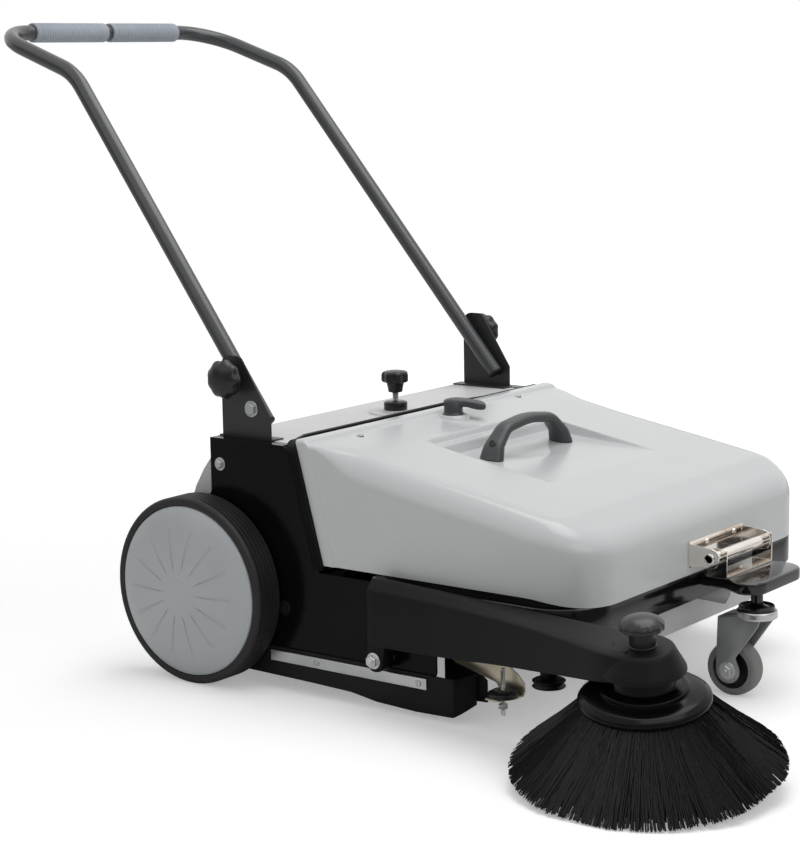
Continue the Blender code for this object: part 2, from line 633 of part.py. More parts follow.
# Drive belt: round rubber belt, crossed between the two pulleys so that the brush counter-rotates
wheel_centre = Vector((DRIVE_X, WHEEL_Y, WHEEL_R))
brush_centre = Vector((DRIVE_X, BRUSH_Y, BRUSH_Z))
span = (brush_centre - wheel_centre).length
ahead = (brush_centre - wheel_centre).normalized()
above = Vector((1, 0, 0)).cross(ahead)
wrap = math.acos((DRIVE_R + DRIVEN_R) / span)
turn = 2 * math.pi - 2 * wrap
route = []
for k in range(13):
    t = wrap + turn * k / 12
    route.append(wheel_centre + (ahead * math.cos(t) + above * math.sin(t)) * DRIVE_R / math.cos(turn / 24))
lower = []
for k in range(9):
    t = math.pi - wrap - turn * k / 8
    lower.append(brush_centre + (ahead * math.cos(t) + above * math.sin(t)) * DRIVEN_R / math.cos(turn / 16))
run = []
for k in range(1, 10):
    swerve = Vector((0.0040 * math.sin(math.pi * k / 10) ** 2, 0, 0))
    run.append((k / 10, swerve))
points = list(route)
points += [route[-1].lerp(lower[0], t) + swerve for t, swerve in run]
points += lower
points += [lower[-1].lerp(route[0], t) - swerve for t, swerve in run]
bm = bmesh.new()
rings = []
for i, p in enumerate(points):
    along = (points[(i + 1) % len(points)] - points[i - 1]).normalized()
    side = (Vector((1, 0, 0)) - along * along.x).normalized()
    other = along.cross(side)
    rings.append([bm.verts.new(p + side * c + other * s) for c, s in circle(BELT_R, 5)])
for i, a in enumerate(rings):
    b = rings[(i + 1) % len(rings)]
    for k in range(5):
        bm.faces.new((a[k], a[(k + 1) % 5], b[(k + 1) % 5], b[k]))
place("drive_belt", "chassis", bm, RUBBER, 0.6, smooth=60)

# Main brush: core with spindle ends, pulley on the driven end and a bristle sleeve
group = "main_brush"
centre = (0, BRUSH_Y, BRUSH_Z)
profile = [(0, -SPINDLE_HALF), (SPINDLE_R, -SPINDLE_HALF), (SPINDLE_R, DRIVE_X - 0.0055)] + groove(DRIVEN_R) + [
    (SPINDLE_R * 2, DRIVE_X + 0.0055), (SPINDLE_R * 2, -CORE_HALF), (CORE_R, -CORE_HALF), (CORE_R, CORE_HALF),
    (SPINDLE_R, CORE_HALF), (SPINDLE_R, SPINDLE_HALF), (0, SPINDLE_HALF),
]
bm = lathe(profile, centre, (1, 0, 0), ROUND_SMALL)
place("main_brush_core", group, bm, BLACK_PLASTIC, 0.5)


def strands(base, cells, backing):
    """One closed skin: cells of a ringed grid, each drawn out into one bristle, closed behind by a plain skin.

    base holds the rings of grid points, cells pairs of grid corners and tip (point, inset, half width),
    and backing the two rings of the plain skin.
    """
    bm = bmesh.new()
    grid = [[bm.verts.new(p) for p in ring] for ring in base]
    for corners, (tip, inset, thin) in cells:
        cell = [grid[j][i] for j, i in corners]
        centre = sum((v.co for v in cell), Vector()) / len(cell)
        high = [bm.verts.new(tip + (v.co - centre).normalized() * thin) for v in cell]
        low = cell
        if inset < 1:
            low = [bm.verts.new(centre + (v.co - centre) * inset) for v in cell]
        for k in range(len(cell)):
            k2 = (k + 1) % len(cell)
            if inset < 1:
                bm.faces.new((cell[k], cell[k2], low[k2], low[k]))
            bm.faces.new((low[k], low[k2], high[k2], high[k]))
        bm.faces.new(high)
    first, last = [[bm.verts.new(p) for p in ring] for ring in backing]
    count = len(first)
    for i in range(count):
        i2 = (i + 1) % count
        bm.faces.new((first[i], first[i2], grid[0][i2], grid[0][i]))
        bm.faces.new((grid[-1][i], grid[-1][i2], last[i2], last[i]))
        bm.faces.new((first[i], first[i2], last[i2], last[i]))
    return bm


count = 12
rows = 5


def brush_point(x, radius, turn):
    t = 2 * math.pi * turn / count
    return Vector((x, BRUSH_Y + radius * math.cos(t), BRUSH_Z + radius * math.sin(t)))


base = []
for j in range(rows + 1):
    x = BRISTLE_HALF * (2 * j / rows - 1)
    base.append([brush_point(x, CORE_R + 0.006, i) for i in range(count)])
cells = []
for j in range(rows):
    x = BRISTLE_HALF * (2 * (j + 0.5) / rows - 1)
    for i in range(count):
        i2 = (i + 1) % count
        tip = brush_point(x + 0.004 * math.sin(5 * i + 3 * j), BRUSH_R, i + 0.5)
        cells.append((((j, i), (j, i2), (j + 1, i2), (j + 1, i)), (tip, 0.45, 0.0022)))
bore = (CORE_R + GAP) / math.cos(math.pi / count)
backing = [[brush_point(x, bore, i) for i in range(count)] for x in (-BRISTLE_HALF, BRISTLE_HALF)]
bm = strands(base, cells, backing)
place("main_brush_bristles", group, bm, (0.02, 0.02, 0.02), 0.8, smooth=20)

# Hopper cover: one-piece grey hood with a carrying recess, open below and to the rear
def cover_top(y):
    """Height of the cover's middle line."""
    for (y0, z0), (y1, z1) in zip(TOP_PROFILE, TOP_PROFILE[1:]):
        if y >= y1:
            return z0 + (z1 - z0) * (y - y0) / (y1 - y0)
    return TOP_PROFILE[-1][1]


def hood(inset, floor, roof, rear):
    """Closed hood volume: rounded plan, top that falls towards the front, rolled top edges."""
    bm = bmesh.new()
    half = COVER_HALF - inset
    front = COVER_FRONT + inset
    corner = COVER_CORNER - inset
    stations = [
        rear, -0.018, -0.026, -0.060, -0.090, -0.130, -0.170, -0.220, -0.270, -0.320, -0.370, front + corner,
    ]
    levels = [(0.0, None)]
    for k in range(5):
        t = math.pi / 2 * k / 4
        levels.append((COVER_ROLL * (1 - math.cos(t)), COVER_ROLL * (1 - math.sin(t))))
    rings = []
    for shift, drop in levels:
        ring = []
        c = corner
        for y in stations[:-1]:
            ring.append((-(half - shift), y))
        for k in range(8):
            t = math.pi / 2 * k / 7
            cx = half - c
            cy = front + c
            r = c - shift
            ring.append((-(cx + r * math.cos(t)), cy - r * math.sin(t)))
        verts = []
        last_index = 2 * len(ring) - 1
        for i, (x, y) in enumerate(ring + [(-x, y) for x, y in reversed(ring)]):
            if drop is None:
                z = floor
            else:
                fall = max(0.0, (-0.4300 - y)) * 0.25
                z = min(cover_top(y), COVER_PEAK) - roof - drop - fall
            if rear < 0:
                step = min(i, last_index - i)
                limit = rear + (z - COVER_FOOT) * REAR_SLOPE
                y = limit if step == 0 else min(y, limit - 0.006 * step)
            verts.append(bm.verts.new((x, y, z)))
        rings.append(verts)
    n = len(rings[0])
    for a, b in zip(rings, rings[1:]):
        for i in range(n):
            bm.faces.new((a[i], a[(i + 1) % n], b[(i + 1) % n], b[i]))
    bm.faces.new(rings[0])
    last = rings[-1]
    for i in range(n // 2 - 1):
        bm.faces.new((last[i], last[i + 1], last[n - 2 - i], last[n - 1 - i]))
    return bm


bm = hood(0.0, COVER_FOOT, 0.0, COVER_REAR)
cover = place("hopper_cover", "hopper", bm, GREY_COVER, 0.4, smooth=40)
combine(cover, hood(COVER_WALL, COVER_FOOT - 0.0400, COVER_WALL, 0.0500), "cover_cavity")
block = prism(
    [
        (-0.126, COVER_PEAK - 0.0240), (-0.170, COVER_PEAK - 0.0330), (-0.320, COVER_PEAK - 0.0590),
        (-0.345, COVER_PEAK - 0.0634), (-0.345, COVER_PEAK - 0.0648), (-0.126, COVER_PEAK - 0.0480),
    ],
    "X", -TRAY_HALF - COVER_WALL, TRAY_HALF + COVER_WALL,
)
combine(cover, block, "recess_tray", "UNION")
above = COVER_PEAK + 0.0230
pocket = [(TRAY_REAR, above), (TRAY_REAR, TRAY_DEEP), (TRAY_FRONT, TRAY_LOW), (TRAY_FRONT, above)]
combine(cover, prism(pocket, "X", -TRAY_HALF, TRAY_HALF), "recess")
boss = bar(0.0185, LATCH_SEAT - 0.0072, LATCH_SEAT, (LATCH_X, LATCH_Y, 0), (0, 0, 1), 28, 0.0006)
combine(cover, boss, "latch_boss", "UNION")
hole = bar(LATCH_R + GAP, LATCH_SEAT - 0.0222, LATCH_SEAT + 0.0178, (LATCH_X, LATCH_Y, 0), (0, 0, 1), 20)
combine(cover, hole, "latch_hole")

# Hopper bucket: light grey waste bin under the cover with a low lip towards the main brush
outline = [
    (BUCKET_REAR, BUCKET_FOOT), (BUCKET_FRONT + 0.0110, BUCKET_FOOT),
    (BUCKET_FRONT, BUCKET_TOP), (BUCKET_REAR, BUCKET_TOP),
]
bm = prism(outline, "X", -BUCKET_HALF, BUCKET_HALF)
bucket = place("hopper_bucket", "hopper", bm, LIGHT_GREY, 0.5, smooth=30)
inner = BUCKET_HALF - 0.0020
inner_front = BUCKET_FRONT + 0.0020
rim = rounded(
    [
        (-RIM_HALF, BUCKET_REAR), (-RIM_HALF, RIM_FRONT), (RIM_HALF, RIM_FRONT), (RIM_HALF, BUCKET_REAR),
        (inner, BUCKET_REAR), (inner, inner_front), (-inner, inner_front), (-inner, BUCKET_REAR),
    ],
    [0, 0.070, 0.070, 0, 0, 0, 0, 0], 8,
)
combine(bucket, prism(rim, "Z", BUCKET_TOP - 0.0031, BUCKET_TOP + 0.0001), "bucket_rim", "UNION")
inner_rear = BUCKET_REAR - BUCKET_WALL
space = [
    (inner_rear, BUCKET_FOOT + BUCKET_WALL), (BUCKET_FRONT + 0.0145, BUCKET_FOOT + BUCKET_WALL),
    (BUCKET_FRONT + 0.0037, BUCKET_TOP + 0.0055), (BUCKET_REAR + 0.0350, BUCKET_TOP + 0.0055),
    (BUCKET_REAR + 0.0350, BUCKET_LIP), (inner_rear, BUCKET_LIP),
]
combine(bucket, prism(space, "X", -BUCKET_HALF + BUCKET_WALL, BUCKET_HALF - BUCKET_WALL), "bucket_space")

# Carry handle: dark grey bridge standing in the recess
path = [
    (-HANDLE_HALF, HANDLE_FOOT), (-HANDLE_HALF, HANDLE_FOOT + 0.0151), (-HANDLE_HALF + 0.0280, HANDLE_TOP),
    (HANDLE_HALF - 0.0280, HANDLE_TOP), (HANDLE_HALF, HANDLE_FOOT + 0.0151), (HANDLE_HALF, HANDLE_FOOT),
]
path = fillet([(x, HANDLE_Y, z) for x, z in path], [0.014, 0.022, 0.022, 0.014], 4)
section = rounded([(-0.0110, -0.0050), (0.0110, -0.0050), (0.0110, 0.0050), (-0.0110, 0.0050)], 0.003, 1)
bm = bmesh.new()
rings = []
for i, p in enumerate(path):
    a = path[max(i - 1, 0)]
    b = path[min(i + 1, len(path) - 1)]
    along = (Vector(b) - Vector(a)).normalized()
    if i in (0, len(path) - 1):
        along = Vector((0, 0, 1 if i == 0 else -1))
    up = Vector((0, 1, 0)).cross(along) * -1
    rings.append([bm.verts.new(Vector(p) + Vector((0, 1, 0)) * s + up * t) for s, t in section])
n = len(section)
for a, b in zip(rings, rings[1:]):
    for k in range(n):
        bm.faces.new((a[k], a[(k + 1) % n], b[(k + 1) % n], b[k]))
bm.faces.new(rings[0])
bm.faces.new(rings[-1])
place("carry_handle", "hopper", bm, DARK_GREY, 0.5, smooth=40)

# Front hinge: nickelled leaf on the cover, channel on the shelf and a tube through both
hx = HINGE_X
bm = box(hx - LEAF_HALF, hx + LEAF_HALF, LEAF_BACK - NICKEL_SHEET, LEAF_BACK, HINGE_Z - 0.0165, HINGE_Z + 0.0215)
leaf = place("hinge_leaf", "hopper", bm, NICKEL, 0.15, 1.0)
ear = [
    (LEAF_BACK - 0.0007, HINGE_Z - 0.0135), (LEAF_BACK - 0.0007, HINGE_Z + 0.0185),
    (HINGE_Y - 0.0140, HINGE_Z + 0.0140), (HINGE_Y - 0.0140, HINGE_Z - 0.0135),
]
ear = rounded(ear, [0, 0, 0.012, 0.012], 5)
for side in (-1, 1):
    flap = prism(ear, "X", hx + side * LEAF_HALF, hx + side * (LEAF_HALF - NICKEL_SHEET))
    combine(leaf, flap, "leaf_ear_%d" % side, "UNION")
combine(leaf, bar(HINGE_BORE, -0.10, 0.10, (hx, HINGE_Y, HINGE_Z), (1, 0, 0), ROUND_SMALL), "leaf_bore")
bm = box(hx + BASE_LOW, hx + BASE_HIGH, HINGE_Y - 0.0130, HINGE_Y + 0.0200, SHELF_TOP + GAP, SHELF_TOP + 0.0026)
base = place("hinge_base", "chassis", bm, NICKEL, 0.15, 1.0)
ear = [
    (HINGE_Y - 0.0130, SHELF_TOP + 0.0004), (HINGE_Y - 0.0130, HINGE_Z + 0.0105),
    (HINGE_Y + 0.0150, HINGE_Z + 0.0105), (HINGE_Y + 0.0200, SHELF_TOP + 0.0004),
]
ear = rounded(ear, [0, 0.004, 0.010, 0], 4)
combine(base, prism(ear, "X", hx + BASE_LOW, hx + BASE_LOW + 0.0024), "base_ear_near", "UNION")
combine(base, prism(ear, "X", hx + BASE_HIGH, hx + BASE_HIGH - 0.0024), "base_ear_far", "UNION")
combine(base, bar(HINGE_BORE, -0.10, 0.10, (hx, HINGE_Y, HINGE_Z), (1, 0, 0), ROUND_SMALL), "base_bore")
tube_in = HINGE_TUBE_R - 0.0030
profile = [
    (tube_in, -LEAF_HALF - 0.0020), (HINGE_TUBE_R, -LEAF_HALF - 0.0020),
    (HINGE_TUBE_R, BASE_HIGH + 0.0020), (tube_in, BASE_HIGH + 0.0020),
]
bm = lathe(profile, (hx, HINGE_Y, HINGE_Z), (1, 0, 0), ROUND_SMALL)
place("hinge_tube", "chassis", bm, NICKEL, 0.12, 1.0)

# Latch lever: dark grey turning handle with a spindle and a cam under the cover
lx = LATCH_X
ly = LATCH_Y
group = "latch_lever"
bm = bar(0.0145, LATCH_SEAT + 0.0004, LATCH_SEAT + 0.0178, (lx, ly, 0), (0, 0, 1), 28, 0.0015)
lever = place("latch_handle", group, bm, DARK_GREY, 0.45)
angle = math.radians(-56)
blade = []
half_blade = [(-0.004, -0.0105), (0.030, -0.0085), (0.049, -0.0060)]
for along, across in half_blade + [(along, -across) for along, across in reversed(half_blade)]:
    x = lx + along * math.cos(angle) - across * math.sin(angle)
    y = ly + along * math.sin(angle) + across * math.cos(angle)
    blade.append((x, y))
combine(lever, prism(blade, "Z", LATCH_SEAT + 0.0064, LATCH_SEAT + 0.0188), "latch_blade", "UNION")
bm = bar(LATCH_R, LATCH_SEAT - 0.0192, LATCH_SEAT + 0.0001, (lx, ly, 0), (0, 0, 1), 20)
spindle = place("latch_cam", group, bm, ZINC, 0.4, 1.0)
cam = [(lx - 0.010, ly - 0.012), (lx + 0.010, ly - 0.012), (lx + 0.010, ly + 0.030), (lx - 0.010, ly + 0.030)]
cam_plate = prism(rounded(cam, 0.008, 4), "Z", LATCH_SEAT - 0.0190, LATCH_SEAT - 0.0160)
combine(spindle, cam_plate, "cam_plate", "UNION")

# Side skirts: black rubber with an inward front lip, clamped by a metal strip
for side, word in ((-1, "right"), (1, "left")):
    bm = bmesh.new()
    path = [(-SKIRT_X, 0.1400), (-SKIRT_X, -0.0300), (-SKIRT_X, -0.1040), (-SKIRT_X, -0.1500), (-SKIRT_X, -0.2780)]
    lows = [0.0220, 0.0200, 0.0180, 0.0110, 0.0075]
    highs = [0.0660, 0.0660, 0.0660, 0.0660, 0.0660]
    for k in range(1, 5):
        t = math.pi / 2 * k / 4 * 0.85
        path.append((-SKIRT_X + 0.0120 * (1 - math.cos(t)), -0.2780 - 0.0120 * math.sin(t)))
        lows.append(0.0075)
        highs.append(0.0650 - 0.002 * k)
    path.append((-0.2960, -0.2960))
    lows.append(0.0160)
    highs.append(0.0400)
    rings = []
    for i, (x, y) in enumerate(path):
        a = Vector(path[max(i - 1, 0)])
        b = Vector(path[min(i + 1, len(path) - 1)])
        d = (b - a).normalized()
        nrm = Vector((-d.y, d.x)) * SKIRT_SHEET / 2
        p = Vector((x, y))
        ring = []
        for q, z in ((p + nrm, lows[i]), (p - nrm, lows[i]), (p - nrm, highs[i]), (p + nrm, highs[i])):
            ring.append(bm.verts.new((-side * q.x, q.y, z)))
        rings.append(ring)
    for a, b in zip(rings, rings[1:]):
        for k in range(4):
            bm.faces.new((a[k], a[(k + 1) % 4], b[(k + 1) % 4], b[k]))
    bm.faces.new(rings[0])
    bm.faces.new(rings[-1])
    place("side_skirt_" + word, "chassis", bm, RUBBER, 0.6, smooth=30)
    strip = SKIRT_X + SKIRT_SHEET / 2 + GAP
    bm = box(side * strip, side * (strip + 0.0022), -0.2410, 0.0450, 0.0440, 0.0600)
    place("skirt_strip_" + word, "chassis", bm, ZINC, 0.35, 1.0)

# Stop bracket: zinc-yellow plate ahead of the side panel carrying an adjusting screw and a round pad
outline = rounded([(-0.2300, 0.1000), (-0.3970, 0.1030), (-0.3970, 0.0570), (-0.2300, 0.0640)], [0, 0.018, 0, 0], 5)
bm = prism(outline, "X", GAP - PANEL_IN, 0.0027 - PANEL_IN)
stop = place("stop_bracket", "chassis", bm, YELLOW_ZINC, 0.35, 0.9)
foot_plate = box(0.0010 - PANEL_IN, 0.0380 - PANEL_IN, -0.3970, -0.3300, 0.0572, 0.0594)
combine(stop, foot_plate, "stop_foot", "UNION")
combine(stop, bar(STOP_R + GAP, 0.050, 0.070, (STOP_X, STOP_Y, 0), (0, 0, 1), 16), "stop_bore")
profile = [(0, 0.0200), (STOP_R, 0.0200), (STOP_R, 0.0870), (0, 0.0870)]
bm = lathe(profile, (STOP_X, STOP_Y, 0), (0, 0, 1), 16)
screw = place("stop_screw", "chassis", bm, ZINC, 0.35, 1.0)
pad_bore = STOP_R + 0.0002
profile = [(pad_bore, 0.0470), (0.0170, 0.0470), (0.0170, 0.0569), (pad_bore, 0.0569)]
bm = lathe(profile, (STOP_X, STOP_Y, 0), (0, 0, 1), 24)
place("stop_pad", "chassis", bm, BLACK_PLASTIC, 0.5)

# Side arm: black moulded arm from the pivot on the side panel to the side brush
group = "side_arm"
stations = [
    (-0.1580, ARM_THICK, 0, 0.1020, 0.1890, 0.2030),
    (-0.2300, 0.0295, 0, 0.1040, 0.1880, 0.2010),
    (-0.3200, 0.0395, 0, 0.1100, 0.1870, 0.1990),
    (-0.4000, 0.0535, 0, 0.1180, 0.1860, 0.1970),
    (-0.4800, 0.0735, 0.0055, 0.1280, 0.1850, 0.1950),
    (-0.5500, 0.0995, 0.0175, 0.1400, 0.1830, 0.1930),
    (-0.6000, 0.1135, 0.0315, 0.1600, 0.1800, 0.1920),
    (-0.6400, 0.1115, 0.0435, 0.1610, 0.1740, 0.1850),
]
bm = bmesh.new()
rings = []
for y, outer, inner, zb, zc, zt in stations:
    xo = -ARM_IN - outer
    xi = -ARM_IN - inner
    ring = [(xo, y, zb), (xo, y, zc), (xo + 0.0130, y, zt), (xi, y, zt), (xi, y, zb)]
    rings.append([bm.verts.new(p) for p in ring])
for a, b in zip(rings, rings[1:]):
    for k in range(5):
        bm.faces.new((a[k], a[(k + 1) % 5], b[(k + 1) % 5], b[k]))
bm.faces.new(rings[0])
bm.faces.new(rings[-1])
arm = place("side_arm_body", group, bm, BLACK_PLASTIC, 0.4, smooth=25)
profile = [
    (0, NOSE_FOOT), (0.0420, NOSE_FOOT), (0.0440, NOSE_FOOT + 0.0038), (0.0330, NOSE_TOP - 0.0050),
    (0.0290, NOSE_TOP), (0, NOSE_TOP),
]
combine(arm, lathe(profile, SIDE_BRUSH, SIDE_AXIS, 28), "arm_nose", "UNION")
lug = rounded([(-0.1590, 0.1100), (-0.1590, 0.0660), (-0.1850, 0.0660), (-0.1900, 0.1100)], [0, 0.010, 0.010, 0], 4)
combine(arm, prism(lug, "X", -ARM_IN - ARM_THICK, -ARM_IN - 0.0001), "arm_lug", "UNION")
post = bar(0.0080, PULLEY_TOP + GAP, 0.1500, (PULLEY_X, PULLEY_Y, 0), (0, 0, 1), 16)
combine(arm, post, "pulley_post", "UNION")
combine(arm, bar(PIVOT_R + GAP, -0.05, 0.05, (-ARM_IN - 0.0115, ARM_Y, ARM_Z), (1, 0, 0), 20), "arm_bore")
outer = ARM_IN + ARM_THICK
profile = [
    (0, PANEL_OUT + GAP), (PIVOT_R * 2, PANEL_OUT + GAP), (PIVOT_R * 2, ARM_IN - GAP), (PIVOT_R, ARM_IN - GAP),
    (PIVOT_R, outer + GAP), (0.0110, outer + GAP), (0.0110, outer + 0.0020), (0.0085, outer + 0.0020),
    (0.0085, outer + 0.0090), (0, outer + 0.0090),
]
bm = lathe(profile, (0, ARM_Y, ARM_Z), (-1, 0, 0), 14)
place("arm_pivot_bolt", "chassis", bm, ZINC, 0.3, 1.0)
neck = PULLEY_R - 0.0030
flat = PULLEY_R - 0.0005
profile = [
    (0, PULLEY_FOOT), (flat, PULLEY_FOOT), (PULLEY_R, PULLEY_FOOT + 0.0010), (neck, PULLEY_FOOT + 0.0040),
    (neck, PULLEY_TOP - 0.0040), (PULLEY_R, PULLEY_TOP - 0.0010), (flat, PULLEY_TOP), (0, PULLEY_TOP),
]
bm = lathe(profile, (PULLEY_X, PULLEY_Y, 0), (0, 0, 1), ROUND_SMALL)
place("belt_pulley", "arm_pulley", bm, BLACK_PLASTIC, 0.4)

# Side brush: glossy black disc with a stepped collar and a skirt of bristles
group = "side_brush"
profile = [
    (0, -0.0080), (SIDE_R - 0.0040, -0.0080), (SIDE_R, -0.0045), (SIDE_R, 0.0005), (SIDE_R - 0.0060, 0.0060),
    (0.0560, 0.0095), (0.0560, 0.0150), (0.0400, 0.0175), (0.0400, NOSE_FOOT - GAP), (0, NOSE_FOOT - GAP),
]
bm = lathe(profile, SIDE_BRUSH, SIDE_AXIS, ROUND_LARGE)
place("side_brush_disc", group, bm, BLACK_STEEL, 0.15)
w = SIDE_AXIS
u = (Vector((1, 0, 0)) - w * w.x).normalized()
v = w.cross(u)


def ring_point(radius, angle, height):
    return SIDE_BRUSH + w * height + (u * math.cos(angle) + v * math.sin(angle)) * radius


count = 30
rows = 5
base = []
for j in range(rows + 1):
    radius = 0.046 + 0.034 * j / rows
    base.append([ring_point(radius, 2 * math.pi * i / count, -0.0125 + 0.0020 * j / rows) for i in range(count)])
cells = []
for j in range(rows):
    for i in range(count):
        i2 = (i + 1) % count
        halves = (((j, i), (j, i2), (j + 1, i2)), 2 / 3, 1 / 3), (((j, i), (j + 1, i2), (j + 1, i)), 1 / 3, 2 / 3)
        for corners, turn, step in halves:
            radius = 0.098 + 0.080 * (j + step) / rows
            tip = ring_point(radius, 2 * math.pi * (i + turn) / count, -0.0940)
            cells.append((corners, (tip, 1.0, 0.0016)))
backing = [[ring_point(radius, 2 * math.pi * i / count, -0.0083) for i in range(count)] for radius in (0.046, 0.080)]
bm = strands(base, cells, backing)
place("side_brush_bristles", group, bm, (0.015, 0.015, 0.015), 0.8, smooth=20)


def lobed(centre, axis, radius, wave, lobes, low, high, crown=0.002, steps=3):
    """Knob head with soft lobes round the rim."""
    bm = bmesh.new()
    w = Vector(axis).normalized()
    u = w.orthogonal().normalized()
    v = w.cross(u)
    centre = Vector(centre)
    count = lobes * steps
    rings = []
    for height, scale in ((low, 0.88), (low + 0.003, 1.0), (high - 0.004, 1.0), (high, 0.86)):
        ring = []
        for k in range(count):
            t = 2 * math.pi * k / count
            r = (radius + wave * math.cos(lobes * t)) * scale
            ring.append(bm.verts.new(centre + w * height + (u * math.cos(t) + v * math.sin(t)) * r))
        rings.append(ring)
    for a, b in zip(rings, rings[1:]):
        for k in range(count):
            bm.faces.new((a[k], a[(k + 1) % count], b[(k + 1) % count], b[k]))
    for ring, height in ((rings[0], low), (rings[-1], high + crown)):
        tip = bm.verts.new(centre + w * height)
        for k in range(count):
            bm.faces.new((ring[k], ring[(k + 1) % count], tip))
    return bm


# Side brush knob: adjusts the reach of the side brush
group = "side_knob"
bm = lobed(SIDE_BRUSH, SIDE_AXIS, KNOB_HEAD_R, KNOB_WAVE, 7, 0.0880, 0.1040)
knob = place("side_brush_knob", group, bm, BLACK_PLASTIC, 0.4, smooth=40)
hub = [(0, NOSE_TOP + GAP), (0.0160, NOSE_TOP + GAP), (0.0150, 0.0900), (0, 0.0900)]
hub = lathe(hub, SIDE_BRUSH, SIDE_AXIS, 16)
combine(knob, hub, "side_knob_hub", "UNION")

# Brush height knob: lobed head and bright screw over a nut on the rear top plate
group = "height_knob"
profile = [
    (0, NUT_FOOT), (0.0165, NUT_FOOT), (0.0165, NUT_FOOT + 0.0044), (0.0145, NUT_FOOT + 0.0054),
    (0.0145, NUT_TOP - 0.0008), (0.0135, NUT_TOP), (0, NUT_TOP),
]
bm = lathe(profile, (0, KNOB_Y, 0), (0, 0, 1), 20)
place("height_nut", "chassis", bm, BLACK_PLASTIC, 0.4)
bm = lobed((0, KNOB_Y, 0), (0, 0, 1), 0.0205, 0.0014, 7, HEAD_FOOT + 0.0160, HEAD_FOOT + 0.0330)
knob = place("height_knob_head", group, bm, BLACK_PLASTIC, 0.4, smooth=40)
hub = [(0, HEAD_FOOT), (0.0125, HEAD_FOOT), (0.0142, HEAD_FOOT + 0.0180), (0, HEAD_FOOT + 0.0180)]
hub = lathe(hub, (0, KNOB_Y, 0), (0, 0, 1), 16)
combine(knob, hub, "height_hub", "UNION")
bm = bar(0.0040, NUT_TOP + GAP, HEAD_FOOT - GAP, (0, KNOB_Y, 0), (0, 0, 1), 14)
place("height_screw", group, bm, ZINC, 0.2, 1.0)

# Push handle: one bent steel tube with two grip sleeves, folding on two bolts
group = "push_handle"
low_half = BRACKET_IN - TUBE_R - 0.0005
mid_half = low_half - 0.0333
top_half = low_half - 0.0393
path = [
    (-low_half, FOLD_Y - 0.0157, FOLD_Z - 0.0190), (-mid_half, 0.4831, 0.9040), (-top_half, GRIP_Y, GRIP_Z),
    (top_half, GRIP_Y, GRIP_Z), (mid_half, 0.4831, 0.9040), (low_half, FOLD_Y - 0.0157, FOLD_Z - 0.0190),
]
path = fillet(path, [0.100, 0.080, 0.080, 0.100], 6)


def pipe(points, radius, sides):
    """Round bar along a path, capped at both ends."""
    bm = bmesh.new()
    rings = []
    carry = None
    for i, p in enumerate(points):
        before = points[max(i - 1, 0)]
        after = points[min(i + 1, len(points) - 1)]
        along = (after - before).normalized()
        if carry is None:
            carry = along.orthogonal().normalized()
        carry = (carry - along * carry.dot(along)).normalized()
        other = along.cross(carry)
        rings.append([bm.verts.new(p + carry * c + other * s) for c, s in circle(radius, sides)])
    for a, b in zip(rings, rings[1:]):
        for k in range(sides):
            k2 = (k + 1) % sides
            bm.faces.new((a[k], a[k2], b[k2], b[k]))
    bm.faces.new(rings[0])
    bm.faces.new(rings[-1])
    return bm


bm = pipe(path, TUBE_R, TUBE_SIDES)
tube = place("handle_tube", group, bm, TUBE_GREY, 0.3, 0.4)
lower_end = (path[0] - path[1]).normalized() * 0.005
bore = [path[0] + lower_end] + path[1:-1] + [path[-1] + Vector((-lower_end.x, lower_end.y, lower_end.z))]
combine(tube, pipe(bore, TUBE_R - TUBE_WALL, 6), "tube_bore")
for side in (-1, 1):
    hole = bar(HARDWARE_R + GAP, BRACKET_IN - 0.0483, BRACKET_IN + 0.0117, (0, FOLD_Y, FOLD_Z), (side, 0, 0), 16)
    combine(tube, hole, "fold_bore_%d" % side)
for word, x0, x1 in (("right", -0.1700, -0.0050), ("left", 0.0070, 0.1680)):
    profile = [(GRIP_R - 0.0030, x0), (GRIP_R, x0), (GRIP_R, x1), (GRIP_R - 0.0030, x1)]
    bm = lathe(profile, (0, GRIP_Y, GRIP_Z), (1, 0, 0), ROUND_SMALL)
    place("grip_" + word, group, bm, (0.22, 0.24, 0.25), 0.7)

